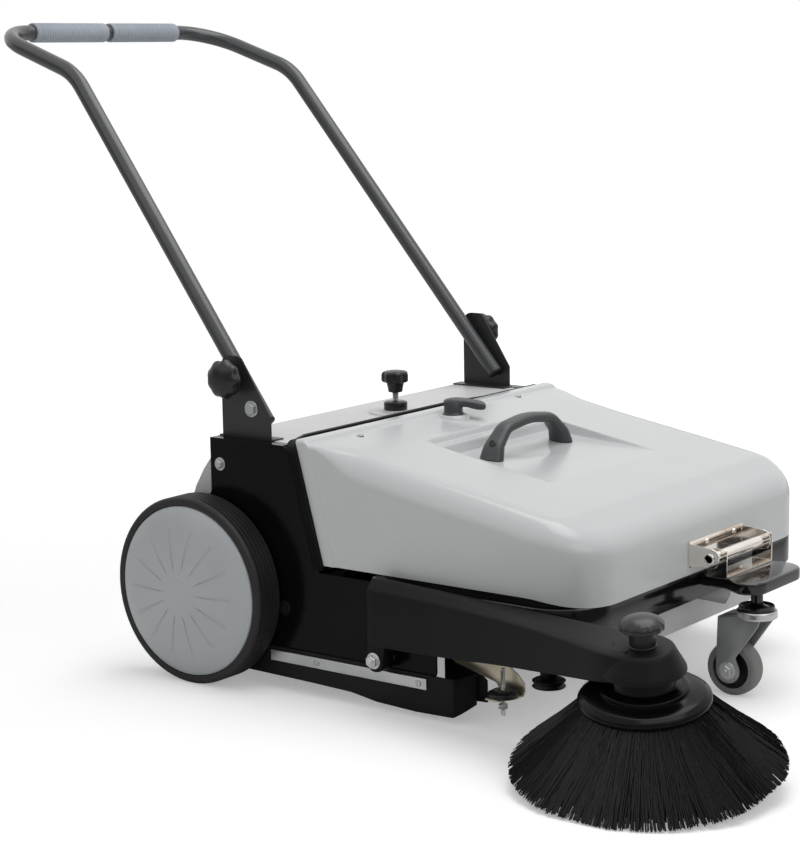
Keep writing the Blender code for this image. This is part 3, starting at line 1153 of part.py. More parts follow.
# Handle brackets, fold bolts and clamp knobs
for side, word in ((-1, "right"), (1, "left")):
    foot = PLATE_FOOT + 0.0002
    high = FOLD_Z + 0.0770
    outline = [
        (FOLD_Y + 0.0580, foot), (FOLD_Y + 0.0580, high), (FOLD_Y + 0.0200, high),
        (FOLD_Y - 0.0360, FOLD_Z - 0.0100), (FOLD_Y - 0.0360, foot),
    ]
    bm = prism(rounded(outline, [0, 0.016, 0.012, 0.002, 0], 5), "X", side * BRACKET_IN, side * BRACKET_OUT)
    bracket = place("handle_bracket_" + word, "chassis", bm, BLACK_STEEL, 0.35)
    hole = bar(HARDWARE_R + GAP, BRACKET_IN - 0.0083, BRACKET_OUT + 0.0095, (0, FOLD_Y, FOLD_Z), (side, 0, 0), 16)
    combine(bracket, hole, "bolt_hole_" + word)
    hole = bar(HARDWARE_R + GAP, BRACKET_IN - 0.0083, BRACKET_OUT + 0.0095, (0, CLAMP_Y, CLAMP_Z), (side, 0, 0), 16)
    combine(bracket, hole, "stud_hole_" + word)
    bolt_end = BRACKET_OUT - 0.0355
    bm = bar(HARDWARE_R, bolt_end, BRACKET_OUT + 0.0015, (0, FOLD_Y, FOLD_Z), (side, 0, 0), 16)
    bolt = place("fold_bolt_" + word, "chassis", bm, ZINC, 0.3, 1.0)
    head = bar(0.0095, BRACKET_OUT + GAP, BRACKET_OUT + 0.0063, (0, FOLD_Y, FOLD_Z), (side, 0, 0), 6)
    combine(bolt, head, "bolt_head_" + word, "UNION")
    nut = bar(0.0075, bolt_end, bolt_end + 0.0048, (0, FOLD_Y, FOLD_Z), (side, 0, 0), 6)
    combine(bolt, nut, "bolt_nut_" + word, "UNION")
    group = word + "_clamp"
    head_in = BRACKET_OUT + 0.0255
    bm = lobed((0, CLAMP_Y, CLAMP_Z), (side, 0, 0), KNOB_HEAD_R, KNOB_WAVE, 7, head_in, head_in + 0.0180)
    knob = place("clamp_knob_" + word, group, bm, BLACK_PLASTIC, 0.4, smooth=40)
    stem = [
        (0, BRACKET_IN - 0.0037), (HARDWARE_R, BRACKET_IN - 0.0037), (HARDWARE_R, BRACKET_OUT + 0.0004),
        (0.0120, BRACKET_OUT + 0.0004), (0.0140, head_in + 0.0020), (0, head_in + 0.0020),
    ]
    hub = lathe(stem, (0, CLAMP_Y, CLAMP_Z), (side, 0, 0), 16)
    combine(knob, hub, "clamp_hub_" + word, "UNION")

# The whole machine is moved so that the middle of its footprint is the origin
bpy.context.view_layer.update()
graph = bpy.context.evaluated_depsgraph_get()
low = Vector((9, 9, 9))
high = Vector((-9, -9, -9))
for ob in nodes:
    solid = ob.evaluated_get(graph)
    for corner in solid.data.vertices:
        p = ob.matrix_world @ corner.co
        low = Vector(map(min, low, p))
        high = Vector(map(max, high, p))
shift = Vector((-(low.x + high.x) / 2, -(low.y + high.y) / 2, -low.z))
for empty in bodies.values():
    empty.location += shift
bpy.context.view_layer.update()
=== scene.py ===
import json
import math
import random

import bmesh
import bpy
from mathutils import Matrix, Vector


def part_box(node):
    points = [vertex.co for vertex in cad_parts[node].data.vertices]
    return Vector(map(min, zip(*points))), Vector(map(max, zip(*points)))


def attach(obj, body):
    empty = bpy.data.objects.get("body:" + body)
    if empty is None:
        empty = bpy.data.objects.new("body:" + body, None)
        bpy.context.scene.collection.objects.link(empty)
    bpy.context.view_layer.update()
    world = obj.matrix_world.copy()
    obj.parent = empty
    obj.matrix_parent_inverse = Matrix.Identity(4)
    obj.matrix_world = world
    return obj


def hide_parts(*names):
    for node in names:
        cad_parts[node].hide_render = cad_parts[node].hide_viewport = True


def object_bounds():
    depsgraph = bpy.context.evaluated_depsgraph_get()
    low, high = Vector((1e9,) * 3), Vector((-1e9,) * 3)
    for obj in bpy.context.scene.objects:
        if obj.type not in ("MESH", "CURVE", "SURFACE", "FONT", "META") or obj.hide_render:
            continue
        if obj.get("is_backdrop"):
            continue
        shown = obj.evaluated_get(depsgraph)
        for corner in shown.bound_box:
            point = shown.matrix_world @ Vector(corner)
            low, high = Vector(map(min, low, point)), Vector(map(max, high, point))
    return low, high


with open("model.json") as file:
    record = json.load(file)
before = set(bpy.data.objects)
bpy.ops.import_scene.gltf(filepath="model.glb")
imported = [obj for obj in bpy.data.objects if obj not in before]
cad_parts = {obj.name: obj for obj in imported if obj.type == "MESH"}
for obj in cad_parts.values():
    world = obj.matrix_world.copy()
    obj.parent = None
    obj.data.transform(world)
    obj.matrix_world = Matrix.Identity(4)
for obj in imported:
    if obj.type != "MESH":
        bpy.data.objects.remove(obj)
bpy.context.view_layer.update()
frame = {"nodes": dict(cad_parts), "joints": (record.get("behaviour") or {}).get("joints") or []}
scene = bpy.context.scene
nodes = frame["nodes"]
joints = {joint["name"]: joint for joint in frame["joints"]}

# The studio: a plain pale floor, a camera at the picture's place and soft lights. Machine coordinates start
# below the brush cover's front edge, midway between the side panels.
cover_low, cover_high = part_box("hopper_cover")
WHEEL_BACK = 0.165
MACHINE = Vector(
    ((cover_low.x + cover_high.x) / 2, joints["right_wheel_spin"]["pos_m"][1] - WHEEL_BACK, 0.0)
)
CAMERA_PLACE = Vector((-2.686, -1.999, 0.916))
CAMERA_YAW = math.radians(52.603)
CAMERA_PITCH = math.radians(9.444)
CAMERA_ROLL = math.radians(-0.991)
FOCAL_PIXELS = 2168.08
PICTURE_HEIGHT = 841
SENSOR = 36.0

camera = bpy.data.objects.new("camera", bpy.data.cameras.new("camera"))
scene.collection.objects.link(camera)
ahead = Vector((
    math.sin(CAMERA_YAW) * math.cos(CAMERA_PITCH),
    math.cos(CAMERA_YAW) * math.cos(CAMERA_PITCH),
    -math.sin(CAMERA_PITCH),
))
level = Vector((math.cos(CAMERA_YAW), -math.sin(CAMERA_YAW), 0.0))
upright = level.cross(ahead)
right = level * math.cos(CAMERA_ROLL) + upright * math.sin(CAMERA_ROLL)
upper = upright * math.cos(CAMERA_ROLL) - level * math.sin(CAMERA_ROLL)
camera_turn = Matrix((right, upper, -ahead)).transposed().to_4x4()
camera.matrix_world = Matrix.Translation(CAMERA_PLACE + MACHINE) @ camera_turn
camera.data.sensor_width = SENSOR
camera.data.lens = FOCAL_PIXELS * SENSOR / PICTURE_HEIGHT
camera.data.clip_start = 0.05
camera.data.clip_end = 60.0
scene.camera = camera
scene.view_settings.view_transform = "Standard"


class Flow:
    """A shader socket. Arithmetic on flows adds Math nodes."""

    def __init__(self, tree, socket):
        self.tree = tree
        self.socket = socket

    def maths(self, operation, *values):
        node = self.tree.nodes.new("ShaderNodeMath")
        node.operation = operation
        for value, place in zip(values, node.inputs):
            join(self.tree, value, place)
        return Flow(self.tree, node.outputs[0])

    def __add__(self, other):
        return self.maths("ADD", self, other)

    def __radd__(self, other):
        return self.maths("ADD", other, self)

    def __sub__(self, other):
        return self.maths("SUBTRACT", self, other)

    def __rsub__(self, other):
        return self.maths("SUBTRACT", other, self)

    def __mul__(self, other):
        return self.maths("MULTIPLY", self, other)

    def __rmul__(self, other):
        return self.maths("MULTIPLY", other, self)

    def step(self, low, high):
        """0 below low, 1 above high, smooth between."""
        node = self.tree.nodes.new("ShaderNodeMapRange")
        node.interpolation_type = "SMOOTHSTEP"
        for value, place in zip((self, low, high, 0.0, 1.0), node.inputs):
            join(self.tree, value, place)
        return Flow(self.tree, node.outputs[0])


def join(tree, value, socket):
    if isinstance(value, Flow):
        tree.links.new(value.socket, socket)
    else:
        socket.default_value = value


class Finish:
    """A material with one Principled shader, whose other nodes come from node()."""

    def __init__(self, name, **values):
        self.material = bpy.data.materials.new(name)
        self.material.use_nodes = True
        self.tree = self.material.node_tree
        self.shader = self.tree.nodes["Principled BSDF"]
        self.place = self.node("ShaderNodeTexCoord", {}, {}, "Object")
        self.set(**values)

    def set(self, **values):
        for name, value in values.items():
            if isinstance(value, tuple) and len(value) == 3:
                value = (*value, 1.0)
            join(self.tree, value, self.shader.inputs[name.replace("_", " ")])

    def node(self, kind, settings, sockets, output=0):
        node = self.tree.nodes.new(kind)
        for name, value in settings.items():
            setattr(node, name, value)
        for name, value in sockets.items():
            join(self.tree, value, node.inputs[name])
        return Flow(self.tree, node.outputs[output])

    def noise(self, scale, detail=3.0, stretch=(1.0, 1.0, 1.0)):
        place = self.node("ShaderNodeMapping", {}, {"Vector": self.place, "Scale": stretch})
        return self.node("ShaderNodeTexNoise", {}, {"Vector": place, "Scale": scale, "Detail": detail})

    def blend(self, share, first, second):
        colours = {0: share, 6: (*first, 1.0), 7: (*second, 1.0)}
        return self.node("ShaderNodeMix", {"data_type": "RGBA"}, colours, 2)

    def relief(self, height, depth):
        self.set(Normal=self.node("ShaderNodeBump", {}, {"Height": height, "Distance": depth}))


floor_finish = Finish("studio_floor", Roughness=1.0, Specular_IOR_Level=0.0)
FLOOR = 0.90
FLOOR_LIFT = 0.32
FAR_LIFT = 0.36
floor_finish.set(Base_Color=(FLOOR, FLOOR, FLOOR))
seen = floor_finish.node("ShaderNodeLightPath", {}, {}, "Is Camera Ray")
distance = floor_finish.node(
    "ShaderNodeVectorMath", {"operation": "LENGTH"}, {0: floor_finish.place}, "Value"
)
floor_glow = seen * (distance.step(0.6, 3.2) * FAR_LIFT + FLOOR_LIFT)
glow_colour = floor_finish.node(
    "ShaderNodeCombineXYZ", {}, {"X": floor_glow, "Y": floor_glow, "Z": floor_glow}
)
floor_finish.set(Emission_Color=glow_colour, Emission_Strength=1.0)
bpy.ops.mesh.primitive_plane_add(size=60.0)
floor = bpy.context.object
floor.name = "floor"
floor.data.materials.append(floor_finish.material)
floor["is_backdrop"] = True

world = bpy.data.worlds.new("studio")
scene.world = world
world.use_nodes = True
sky = world.node_tree
paths = sky.nodes.new("ShaderNodeLightPath")
view_direction = sky.nodes.new("ShaderNodeTexCoord")
split = sky.nodes.new("ShaderNodeSeparateXYZ")
sky.links.new(view_direction.outputs["Generated"], split.inputs[0])
height = Flow(sky, split.outputs["Z"])
backdrop = (Flow(sky, split.outputs["X"]) * 0.79 + Flow(sky, split.outputs["Y"]) * 0.61).step(-0.10, 0.55)
camera_ray = Flow(sky, paths.outputs["Is Camera Ray"])
glossy_ray = Flow(sky, paths.outputs["Is Glossy Ray"])
AMBIENT = 0.44
room = height.step(0.15, 0.60) * 1.00 * (1.0 - backdrop) + backdrop * 0.86 + 0.10
level_seen = camera_ray * 1.0 + (1.0 - camera_ray) * (glossy_ray * room + (1.0 - glossy_ray) * AMBIENT)
join(sky, level_seen, sky.nodes["Background"].inputs["Strength"])
sky.nodes["Background"].inputs["Color"].default_value = (1.0, 1.0, 1.0, 1.0)


def softbox(name, place, aim, size, power):
    lamp = bpy.data.lights.new(name, "AREA")
    lamp.shape = "RECTANGLE"
    lamp.size, lamp.size_y = size
    lamp.energy = power
    holder = bpy.data.objects.new(name, lamp)
    scene.collection.objects.link(holder)
    holder.location = Vector(place)
    holder.rotation_mode = "QUATERNION"
    holder.rotation_quaternion = (Vector(aim) - Vector(place)).to_track_quat("-Z", "Y")


softbox("top_light", (0.4, -0.4, 2.6), (0.0, 0.0, 0.2), (2.4, 1.6), 32.0)
softbox("front_light", (-0.8, -3.0, 1.8), (0.0, -0.2, 0.3), (1.6, 1.2), 9.0)
softbox("side_light", (-2.6, 1.4, 1.5), (0.0, 0.0, 0.2), (1.0, 1.6), 2.5)

# Hopper cover: the large hood of grey moulded plastic over the dirt bin. It is one sheet with a lip round
# its open rear edge, a tray for the carrying handle and a round boss for the latch, and it tips with the
# bin.
COVER_HALF = 0.327
COVER_FRONT = -0.495
COVER_CORNER = 0.085
COVER_FOOT = 0.190
COVER_WALL = 0.004
REAR_SLOPE = 0.268
REAR_FOOT = -0.0540
ROLL_START = math.radians(15.0)
LIP_WIDTH = 0.022
LIP_TOP = 0.3770
TRAY_HALF = 0.150
TRAY_REAR = -0.104
TRAY_FRONT = -0.334
TRAY_CORNER = 0.016
TRAY_LEDGE = -0.126
RIDGE = [
    (-0.030, 0.3706), (-0.090, 0.3620), (-0.170, 0.3460), (-0.320, 0.3200), (-0.430, 0.3000),
    (-0.520, 0.2830)
]


def between(value, low, high):
    """0 below low, 1 above high, smooth between."""
    share = min(1.0, max(0.0, (value - low) / (high - low)))
    return share * share * (3.0 - 2.0 * share)


def along(points, value):
    """The height of a falling line of points at a place along it."""
    for start, end in zip(points, points[1:]):
        (first, low), (second, high) = start, end
        if value >= end[0]:
            break
    return low + (high - low) * (value - first) / (second - first)


def hood_height(x, y):
    ridge = sum(
        along(RIDGE, y + shift) * share for shift, share in ((-0.012, 0.25), (0.0, 0.5), (0.012, 0.25))
    )
    ridge -= max(0.0, -0.430 - y) * 0.25
    lip = between(y, -0.0265, -0.0185)
    ridge += (LIP_TOP - ridge) * lip
    across = max(abs(x) - (TRAY_HALF - TRAY_CORNER), 0.0)
    middle = (TRAY_REAR + TRAY_FRONT) / 2
    deep = max(abs(y - middle) - ((TRAY_REAR - TRAY_FRONT) / 2 - TRAY_CORNER), 0.0)
    edge = math.hypot(across, deep) - TRAY_CORNER
    floor_level = 0.3340 + (y + 0.130) * 0.0799
    floor_level -= 0.004 * between(1.0 - math.hypot(x / 0.085, (y + 0.190) / 0.045), 0.0, 0.8)
    floor_level += 0.0150 * between(y, TRAY_LEDGE - 0.0045, TRAY_LEDGE)
    inside = between(-edge, 0.0, 0.0042)
    return ridge + min(0.0, floor_level - ridge) * inside


def rim_point(place, inset):
    """A point of the hood's plan outline, set in by the roll. It is on the negative x side."""
    kind, value = place
    if kind == "side":
        return -(COVER_HALF - inset), value
    reach = COVER_CORNER - inset
    return (
        -(COVER_HALF - COVER_CORNER + reach * math.cos(value)),
        COVER_FRONT + COVER_CORNER - reach * math.sin(value),
    )


def clear():
    """Nothing is selected."""
    if bpy.context.object and bpy.context.object.mode != "OBJECT":
        bpy.ops.object.mode_set(mode="OBJECT")
    bpy.ops.object.select_all(action="DESELECT")


def edited(shape):
    """The shape's mesh in edit mode, from its operators' last state."""
    return bmesh.from_edit_mesh(shape.data)


def stretch_to(shape, ring, target):
    """Extrudes the selected edge loop, and moves each of its points from ring to target."""
    bpy.ops.mesh.extrude_region_move()
    mesh = edited(shape)
    places = {tuple(Vector(point)): move for point, move in zip(ring, target)}
    for vert in mesh.verts:
        if vert.select:
            vert.co = places[tuple(vert.co)]
    bmesh.update_edit_mesh(shape.data)
    return [Vector(point) for point in target]


def finished(name, body, finish, instead=(), angle=35.0):
    """Ends a piece: its place goes into its mesh, and it gets its material and body; the CAD nodes it stands
    for are hidden.
    """
    shape = bpy.context.object
    shape.location += MACHINE
    bpy.ops.object.transform_apply(location=True, rotation=True, scale=True)
    bpy.ops.object.mode_set(mode="EDIT")
    bpy.ops.mesh.select_all(action="SELECT")
    bpy.ops.mesh.remove_doubles(threshold=0.00002)
    bpy.ops.mesh.normals_make_consistent(inside=False)
    bpy.ops.object.mode_set(mode="OBJECT")
    bpy.ops.object.shade_smooth_by_angle(angle=math.radians(angle))
    shape.name = name
    shape.data.name = name
    shape.data.materials.clear()
    shape.data.materials.append(finish.material)
    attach(shape, body)
    if instead:
        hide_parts(*instead)


def wear(name, colour, other, grain, depth, rough, spread, **values):
    """A finish with a cloudy colour, uneven gloss and a fine moulded or painted grain."""
    finish = Finish(name, **values)
    cloud = finish.noise(9.0, 4.0)
    fine = finish.noise(grain, 2.0)
    finish.set(Base_Color=finish.blend(cloud.step(0.35, 0.70), colour, other))
    finish.set(Roughness=rough + spread * (cloud - 0.5) + spread * 0.6 * (fine - 0.5))
    finish.relief(fine, depth)
    return finish


cover_finish = wear(
    "cover_plastic", (0.600, 0.622, 0.622), (0.590, 0.612, 0.613), 950.0, 0.00002, 0.22, 0.02
)

rows = [
    -0.0039, -0.0075, -0.011, -0.015, -0.0185, -0.0198, -0.0212, -0.0225, -0.0238, -0.0252, -0.0265, -0.029
]
rows += [-0.034 - 0.009 * step for step in range(7)]
rows += [
    -0.095, -0.099, -0.1020, -0.1035, -0.1048, -0.1062, -0.1078, -0.110, -0.115, -0.120, -0.1235, -0.1255,
    -0.1268, -0.1281, -0.1294, -0.1307, -0.1325, -0.136, -0.141, -0.147
]
rows += [-0.153 - 0.0065 * step for step in range(25)]
rows += [
    -0.316, -0.321, -0.325, -0.329, -0.333, -0.336, -0.339, -0.344, -0.352, -0.362, -0.374, -0.386, -0.398
]
stops = [("side", row) for row in rows] + [("corner", math.pi / 2 * step / 16) for step in range(17)]
columns = [0.011 * step for step in range(12)] + [
    0.126, 0.130, 0.134, 0.1375, 0.1405, 0.143, 0.1448, 0.1460
]
columns += [0.1470, 0.1479, 0.1488, 0.1496, 0.1506, 0.1520, 0.156, 0.163, 0.173, 0.186, 0.200, 0.213, 0.226]


def roll(place):
    row = rim_point(place, 0.0)[1]
    return 0.0045 + 0.0265 * between(-row, 0.026, 0.105)


def slanted(place, height):
    """How far a point near the rear edge follows the slant of that edge."""
    row = rim_point(place, 0.0)[1]
    limit = REAR_FOOT + (height - COVER_FOOT) * REAR_SLOPE
    return (limit - rows[0]) * between(row, -0.140, rows[0]) if row > -0.140 else 0.0


def wall_offset(place):
    """The flat wall lies a little inside the lip along its rear edge."""
    row = rim_point(place, 0.0)[1]
    return 0.0026 * between(rows[0] - row, LIP_WIDTH - 0.001, LIP_WIDTH + 0.004)


across = len(columns) * 2 + 5
mirrored = [-value for value in reversed(columns[1:])] + columns


def column(rank, left):
    """Where a line of the grid stands across: the outer three spread from the roll to the tray's columns."""
    if rank < 3:
        return left + (mirrored[0] - left) * rank / 3
    if rank > across - 4:
        return -left + (mirrored[-1] + left) * (across - 1 - rank) / 3
    return mirrored[rank - 3]


clear()
bpy.ops.mesh.primitive_grid_add(x_subdivisions=across - 1, y_subdivisions=len(stops) - 1, size=1.0)
hood = bpy.context.object
bpy.ops.object.mode_set(mode="EDIT")
mesh = edited(hood)
mesh.verts.ensure_lookup_table()
lines = sorted({round(vert.co.x, 5) for vert in mesh.verts})
ranks = {value: rank for rank, value in enumerate(lines)}
depths = sorted({round(vert.co.y, 5) for vert in mesh.verts}, reverse=True)
orders = {value: rank for rank, value in enumerate(depths)}
for vert in mesh.verts:
    place = stops[orders[round(vert.co.y, 5)]]
    left, row = rim_point(place, roll(place))
    x = column(ranks[round(vert.co.x, 5)], left + wall_offset(place))
    vert.co = (x, row, hood_height(x, row))
bmesh.update_edit_mesh(hood.data)
bpy.ops.mesh.select_all(action="DESELECT")
mesh = edited(hood)
for edge in mesh.edges:
    rear_edge = all(vert.co.y > rows[0] - 0.0005 for vert in edge.verts)
    if edge.is_boundary and not rear_edge:
        edge.select = True
mesh.select_flush_mode()
bmesh.update_edit_mesh(hood.data)
rims = [rim_point(place, roll(place)) for place in stops]
side_x = [x + wall_offset(place) for (x, _), place in zip(rims, stops)]
front_row = rims[-1][1]
front_columns = [column(rank, side_x[-1]) for rank in range(1, across - 1)]


def foot(row):
    """The wall's lower edge is lower along the front."""
    return 0.1965 - 0.0115 * between(-row, 0.400, 0.494)


def hem(bend, height):
    """The open edge of the hood, bent down over the roll by an angle, and then down the wall to a height."""
    arc = 1.0 - math.sin(ROLL_START)
    inset = (1.0 - math.sin(bend)) / arc
    drop = (math.cos(ROLL_START) - math.cos(bend)) / arc
    half_rim = []
    for place in stops:
        size = roll(place)
        out_x, out_y = rim_point(place, size * inset)
        start_x, start_y = rim_point(place, size)
        level = hood_height(start_x, start_y) - size * drop
        if height is not None:
            level += (foot(out_y) - level) * height
        half_rim.append((out_x + wall_offset(place), out_y + slanted(place, level), level))
    points = list(half_rim)
    size = roll(stops[-1])
    for x in front_columns:
        level = hood_height(x, front_row) - size * drop
        if height is not None:
            level += (foot(COVER_FRONT) - level) * height
        points.append((x, COVER_FRONT + size * inset, level))
    points += [(-x, y, z) for x, y, z in reversed(half_rim)]
    return points


ring = [(x, y, hood_height(x, y)) for x, (_, y) in zip(side_x, rims)]
ring += [(x, front_row, hood_height(x, front_row)) for x in front_columns]
ring += [(-x, y, z) for x, y, z in reversed(ring[:len(stops)])]
ring = [Vector(point) for point in ring]
for step in range(1, 9):
    ring = stretch_to(hood, ring, hem(ROLL_START + (math.pi / 2 - ROLL_START) * step / 8, None))
for step in range(1, 9):
    ring = stretch_to(hood, ring, hem(math.pi / 2, step / 8))
bpy.ops.mesh.select_all(action="SELECT")
bpy.ops.mesh.remove_doubles(threshold=0.00002)
bpy.ops.mesh.normals_make_consistent(inside=False)
bpy.ops.object.mode_set(mode="OBJECT")
hood.modifiers.new("wall", "SOLIDIFY").thickness = COVER_WALL
hood.modifiers["wall"].offset = -1.0
bpy.ops.object.modifier_apply(modifier="wall")
finished("hopper_hood", "hopper", cover_finish, ("hopper_cover",), 50.0)

# Chassis plates: folded steel side panels enamelled in gloss black, the pale plate between the handle
# brackets and the pale drum cover behind the main brush. Bolts with washers hold the panels together.
SIDES = ((-1, "right"), (1, "left"))
BOLT_SPOT = (0.139, 0.328)
gloss_black = wear(
    "black_enamel", (0.003, 0.003, 0.0033), (0.0045, 0.0045, 0.005), 420.0, 0.00003, 0.18, 0.06,
    Specular_IOR_Level=0.10
)
bright_black = wear(
    "black_steel", (0.005, 0.005, 0.0055), (0.007, 0.007, 0.0075), 420.0, 0.00002, 0.10, 0.04,
    Specular_IOR_Level=0.60
)
moulded_black = wear(
    "black_plastic", (0.007, 0.007, 0.008), (0.011, 0.011, 0.012), 1100.0, 0.00006, 0.42, 0.12,
    Specular_IOR_Level=0.25
)
pale_paint = wear("pale_plate", (0.64, 0.64, 0.64), (0.60, 0.60, 0.60), 700.0, 0.00003, 0.42, 0.10)
zinc = wear("zinc_plate", (0.62, 0.63, 0.62), (0.50, 0.51, 0.51), 260.0, 0.00004, 0.34, 0.16, Metallic=1.0)


def add_rounding(shape, width, segments, angle):
    rounding = shape.modifiers.new("rounding", "BEVEL")
    rounding.width = width
    rounding.segments = segments
    rounding.limit_method = "ANGLE"
    rounding.angle_limit = math.radians(angle)


def pick(shape):
    """The shape alone is selected and active."""
    clear()
    shape.select_set(True)
    bpy.context.view_layer.objects.active = shape


def dressed(finish, *names, edge=0.0):
    """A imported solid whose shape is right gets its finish, and its sharp edges a small round."""
    for name in names:
        solid = nodes[name]
        solid.data.materials.clear()
        solid.data.materials.append(finish.material)
        if edge:
            solid.modifiers.new("weld", "WELD").merge_threshold = 0.00001
            add_rounding(solid, edge, 2, 40.0)


def turned(profile, place, axis=(0.0, 0.0, 1.0), count=48):
    """A round part: a circle is extruded along its axis and scaled at each step of its profile."""
    clear()
    radius, height = profile[0]
    bpy.ops.mesh.primitive_circle_add(vertices=count, radius=radius, fill_type="NOTHING")
    shape = bpy.context.object
    bpy.ops.object.mode_set(mode="EDIT")
    bpy.ops.transform.translate(value=(0.0, 0.0, height))
    for (radius, height), (wider, higher) in zip(profile, profile[1:]):
        bpy.ops.mesh.extrude_region_move(TRANSFORM_OT_translate={"value": (0.0, 0.0, higher - height)})
        scale = wider / radius
        bpy.ops.transform.resize(value=(scale, scale, 1.0), center_override=(0.0, 0.0, higher))
    if profile[0] != profile[-1]:
        bpy.ops.mesh.select_all(action="SELECT")
        bpy.ops.mesh.region_to_loop()
        bpy.ops.mesh.edge_face_add()
    bpy.ops.object.mode_set(mode="OBJECT")
    shape.location = place
    shape.rotation_mode = "QUATERNION"
    shape.rotation_quaternion = Vector(axis).to_track_quat("Z", "Y")
    return shape


def joined(first, *others):
    """One piece of several shapes."""
    for shape in (first, *others):
        pick(shape)
        bpy.ops.object.transform_apply(location=True, rotation=True, scale=True)
    for shape in (first, *others):
        shape.select_set(True)
    bpy.context.view_layer.objects.active = first
    bpy.ops.object.join()


def rounded_off(width, segments=2, angle=40.0):
    """Every sharp edge of the active shape is rounded."""
    add_rounding(bpy.context.object, width, segments, angle)
    bpy.ops.object.modifier_apply(modifier="rounding")


def bolt(place, axis, head=0.0065, washer=0.010, tall=0.005):
    """A hexagon head on a washer."""
    disc = turned([(washer, 0.0), (washer, 0.0010), (washer - 0.0003, 0.0013)], place, axis, 28)
    top = Vector(place) + Vector(axis).normalized() * 0.0013
    crown = turned([(head, 0.0), (head, tall - 0.0006), (head * 0.86, tall)], top, axis, 6)
    joined(disc, crown)


dressed(gloss_black, "side_panel_right", "side_panel_left", edge=0.0009)
dressed(pale_paint, "rear_top_plate", edge=0.0012)
dressed(
    moulded_black, "wheel_bearing_right", "wheel_bearing_left", "brush_bearing_right", "brush_bearing_left",
    edge=0.0004
)
for side, word in SIDES:
    bolt((side * 0.331, *BOLT_SPOT), (side, 0, 0))
    finished("panel_bolt_" + word, "chassis", zinc, (), 30.0)

# Seal, skirts and flap: black rubber sheet. The seal has ribs and lies between the panels and the open rear
# edge of the hood, the skirts and the flap hang close to the floor and are clamped by strips.
SEAL_SLOPE = 0.268
SKIRT_X = 0.3328
SKIRT_TOP = 0.0655
SKIRT_BEND = -0.2830
SKIRT_BEND_R = 0.0035
SKIRT_FOOT = [
    (0.1400, 0.022), (0.0600, 0.021), (-0.0300, 0.020), (-0.1040, 0.018), (-0.1500, 0.011), (-0.2200, 0.0085),
    (SKIRT_BEND, 0.0100)
]
SKIRT_INNER = [
    (-0.2340, 0.0200), (-0.3080, 0.0240), (-0.3080, 0.0560), (-0.2600, 0.0950), (-0.2340, 0.0950)
]
rubber = wear(
    "black_rubber", (0.005, 0.005, 0.005), (0.010, 0.010, 0.010), 900.0, 0.00010, 0.52, 0.16,
    Specular_IOR_Level=0.20
)


def lofted(rings):
    """A long shape: the outline is extruded from station to station and moved to each station's points."""
    clear()
    bpy.ops.mesh.primitive_circle_add(vertices=len(rings[0]), fill_type="NOTHING")
    shape = bpy.context.object
    bpy.ops.object.mode_set(mode="EDIT")
    mesh = edited(shape)
    mesh.verts.ensure_lookup_table()
    for vert, point in zip(mesh.verts, rings[0]):
        vert.co = point
    bmesh.update_edit_mesh(shape.data)
    ring = rings[0]
    for target in rings[1:]:
        ring = stretch_to(shape, ring, target)
    bpy.ops.mesh.select_all(action="SELECT")
    bpy.ops.mesh.region_to_loop()
    bpy.ops.mesh.edge_face_add()
    bpy.ops.object.mode_set(mode="OBJECT")
    return shape


def slab(axis, outline, low, high):
    """A flat outline drawn across an axis, extruded along it from low to high."""
    order = {"X": (2, 0, 1), "Y": (0, 2, 1), "Z": (0, 1, 2)}[axis]
    rings = [[[(*spot, level)[place] for place in order] for spot in outline] for level in (low, high)]
    return lofted(rings)


def runs(line):
    """The points of a line, each with the direction that the line has there."""
    for rank, point in enumerate(line):
        before = line[max(rank - 1, 0)]
        after = line[min(rank + 1, len(line) - 1)]
        yield point, (after - before).normalized()


def with_mirror(line):
    """A line of points on the negative x side and its mirror image, as one line."""
    return line + [(-x, y, z) for x, y, z in reversed(line)]


def eased(points, radii, steps=6):
    """A line of points with each inner corner rounded to its radius."""
    points = [Vector(point) for point in points]
    line = [points[0]]
    for before, corner, after, radius in zip(points, points[1:], points[2:], radii):
        inward = (before - corner).normalized()
        outward = (after - corner).normalized()
        half = inward.angle(outward) / 2
        reach = radius / math.tan(half)
        centre = corner + (inward + outward).normalized() * (radius / math.sin(half))
        start = corner + inward * reach - centre
        end = corner + outward * reach - centre
        turn = start.angle(end)
        for step in range(steps + 1):
            share = step / steps
            arm = (start * math.sin(turn * (1 - share)) + end * math.sin(turn * share)) / math.sin(turn)
            line.append(centre + arm.normalized() * radius)
    return line + [points[-1]]


seal_line = eased(with_mirror([(-0.3225, 0.0, 0.1905), (-0.3225, 0.0, 0.3645)]), [0.007, 0.007], 5)
seal_rings = []
for point, run in runs(seal_line):
    outward = Vector((-run.z, 0.0, run.x))
    if point.z < 0.191:
        outward = Vector((-1.0 if point.x < 0 else 1.0, 0.0, 0.0))
    section = [(-0.0090, 0.0), (0.0094, 0.0)]
    for rib in range(6):
        section += [(0.0098, 0.0006 + rib * 0.0026), (0.0078, 0.0018 + rib * 0.0026)]
    section += [(0.0098, 0.0158), (0.0094, 0.0164), (-0.0090, 0.0164)]
    ring_points = []
    for out, back in section:
        spot = point + outward * out
        ring_points.append((spot.x, -0.0530 + (spot.z - 0.190) * SEAL_SLOPE + back, spot.z))
    seal_rings.append(ring_points)
lofted(seal_rings)
finished("hopper_seal_ribbed", "chassis", rubber, ("hopper_seal",), 25.0)

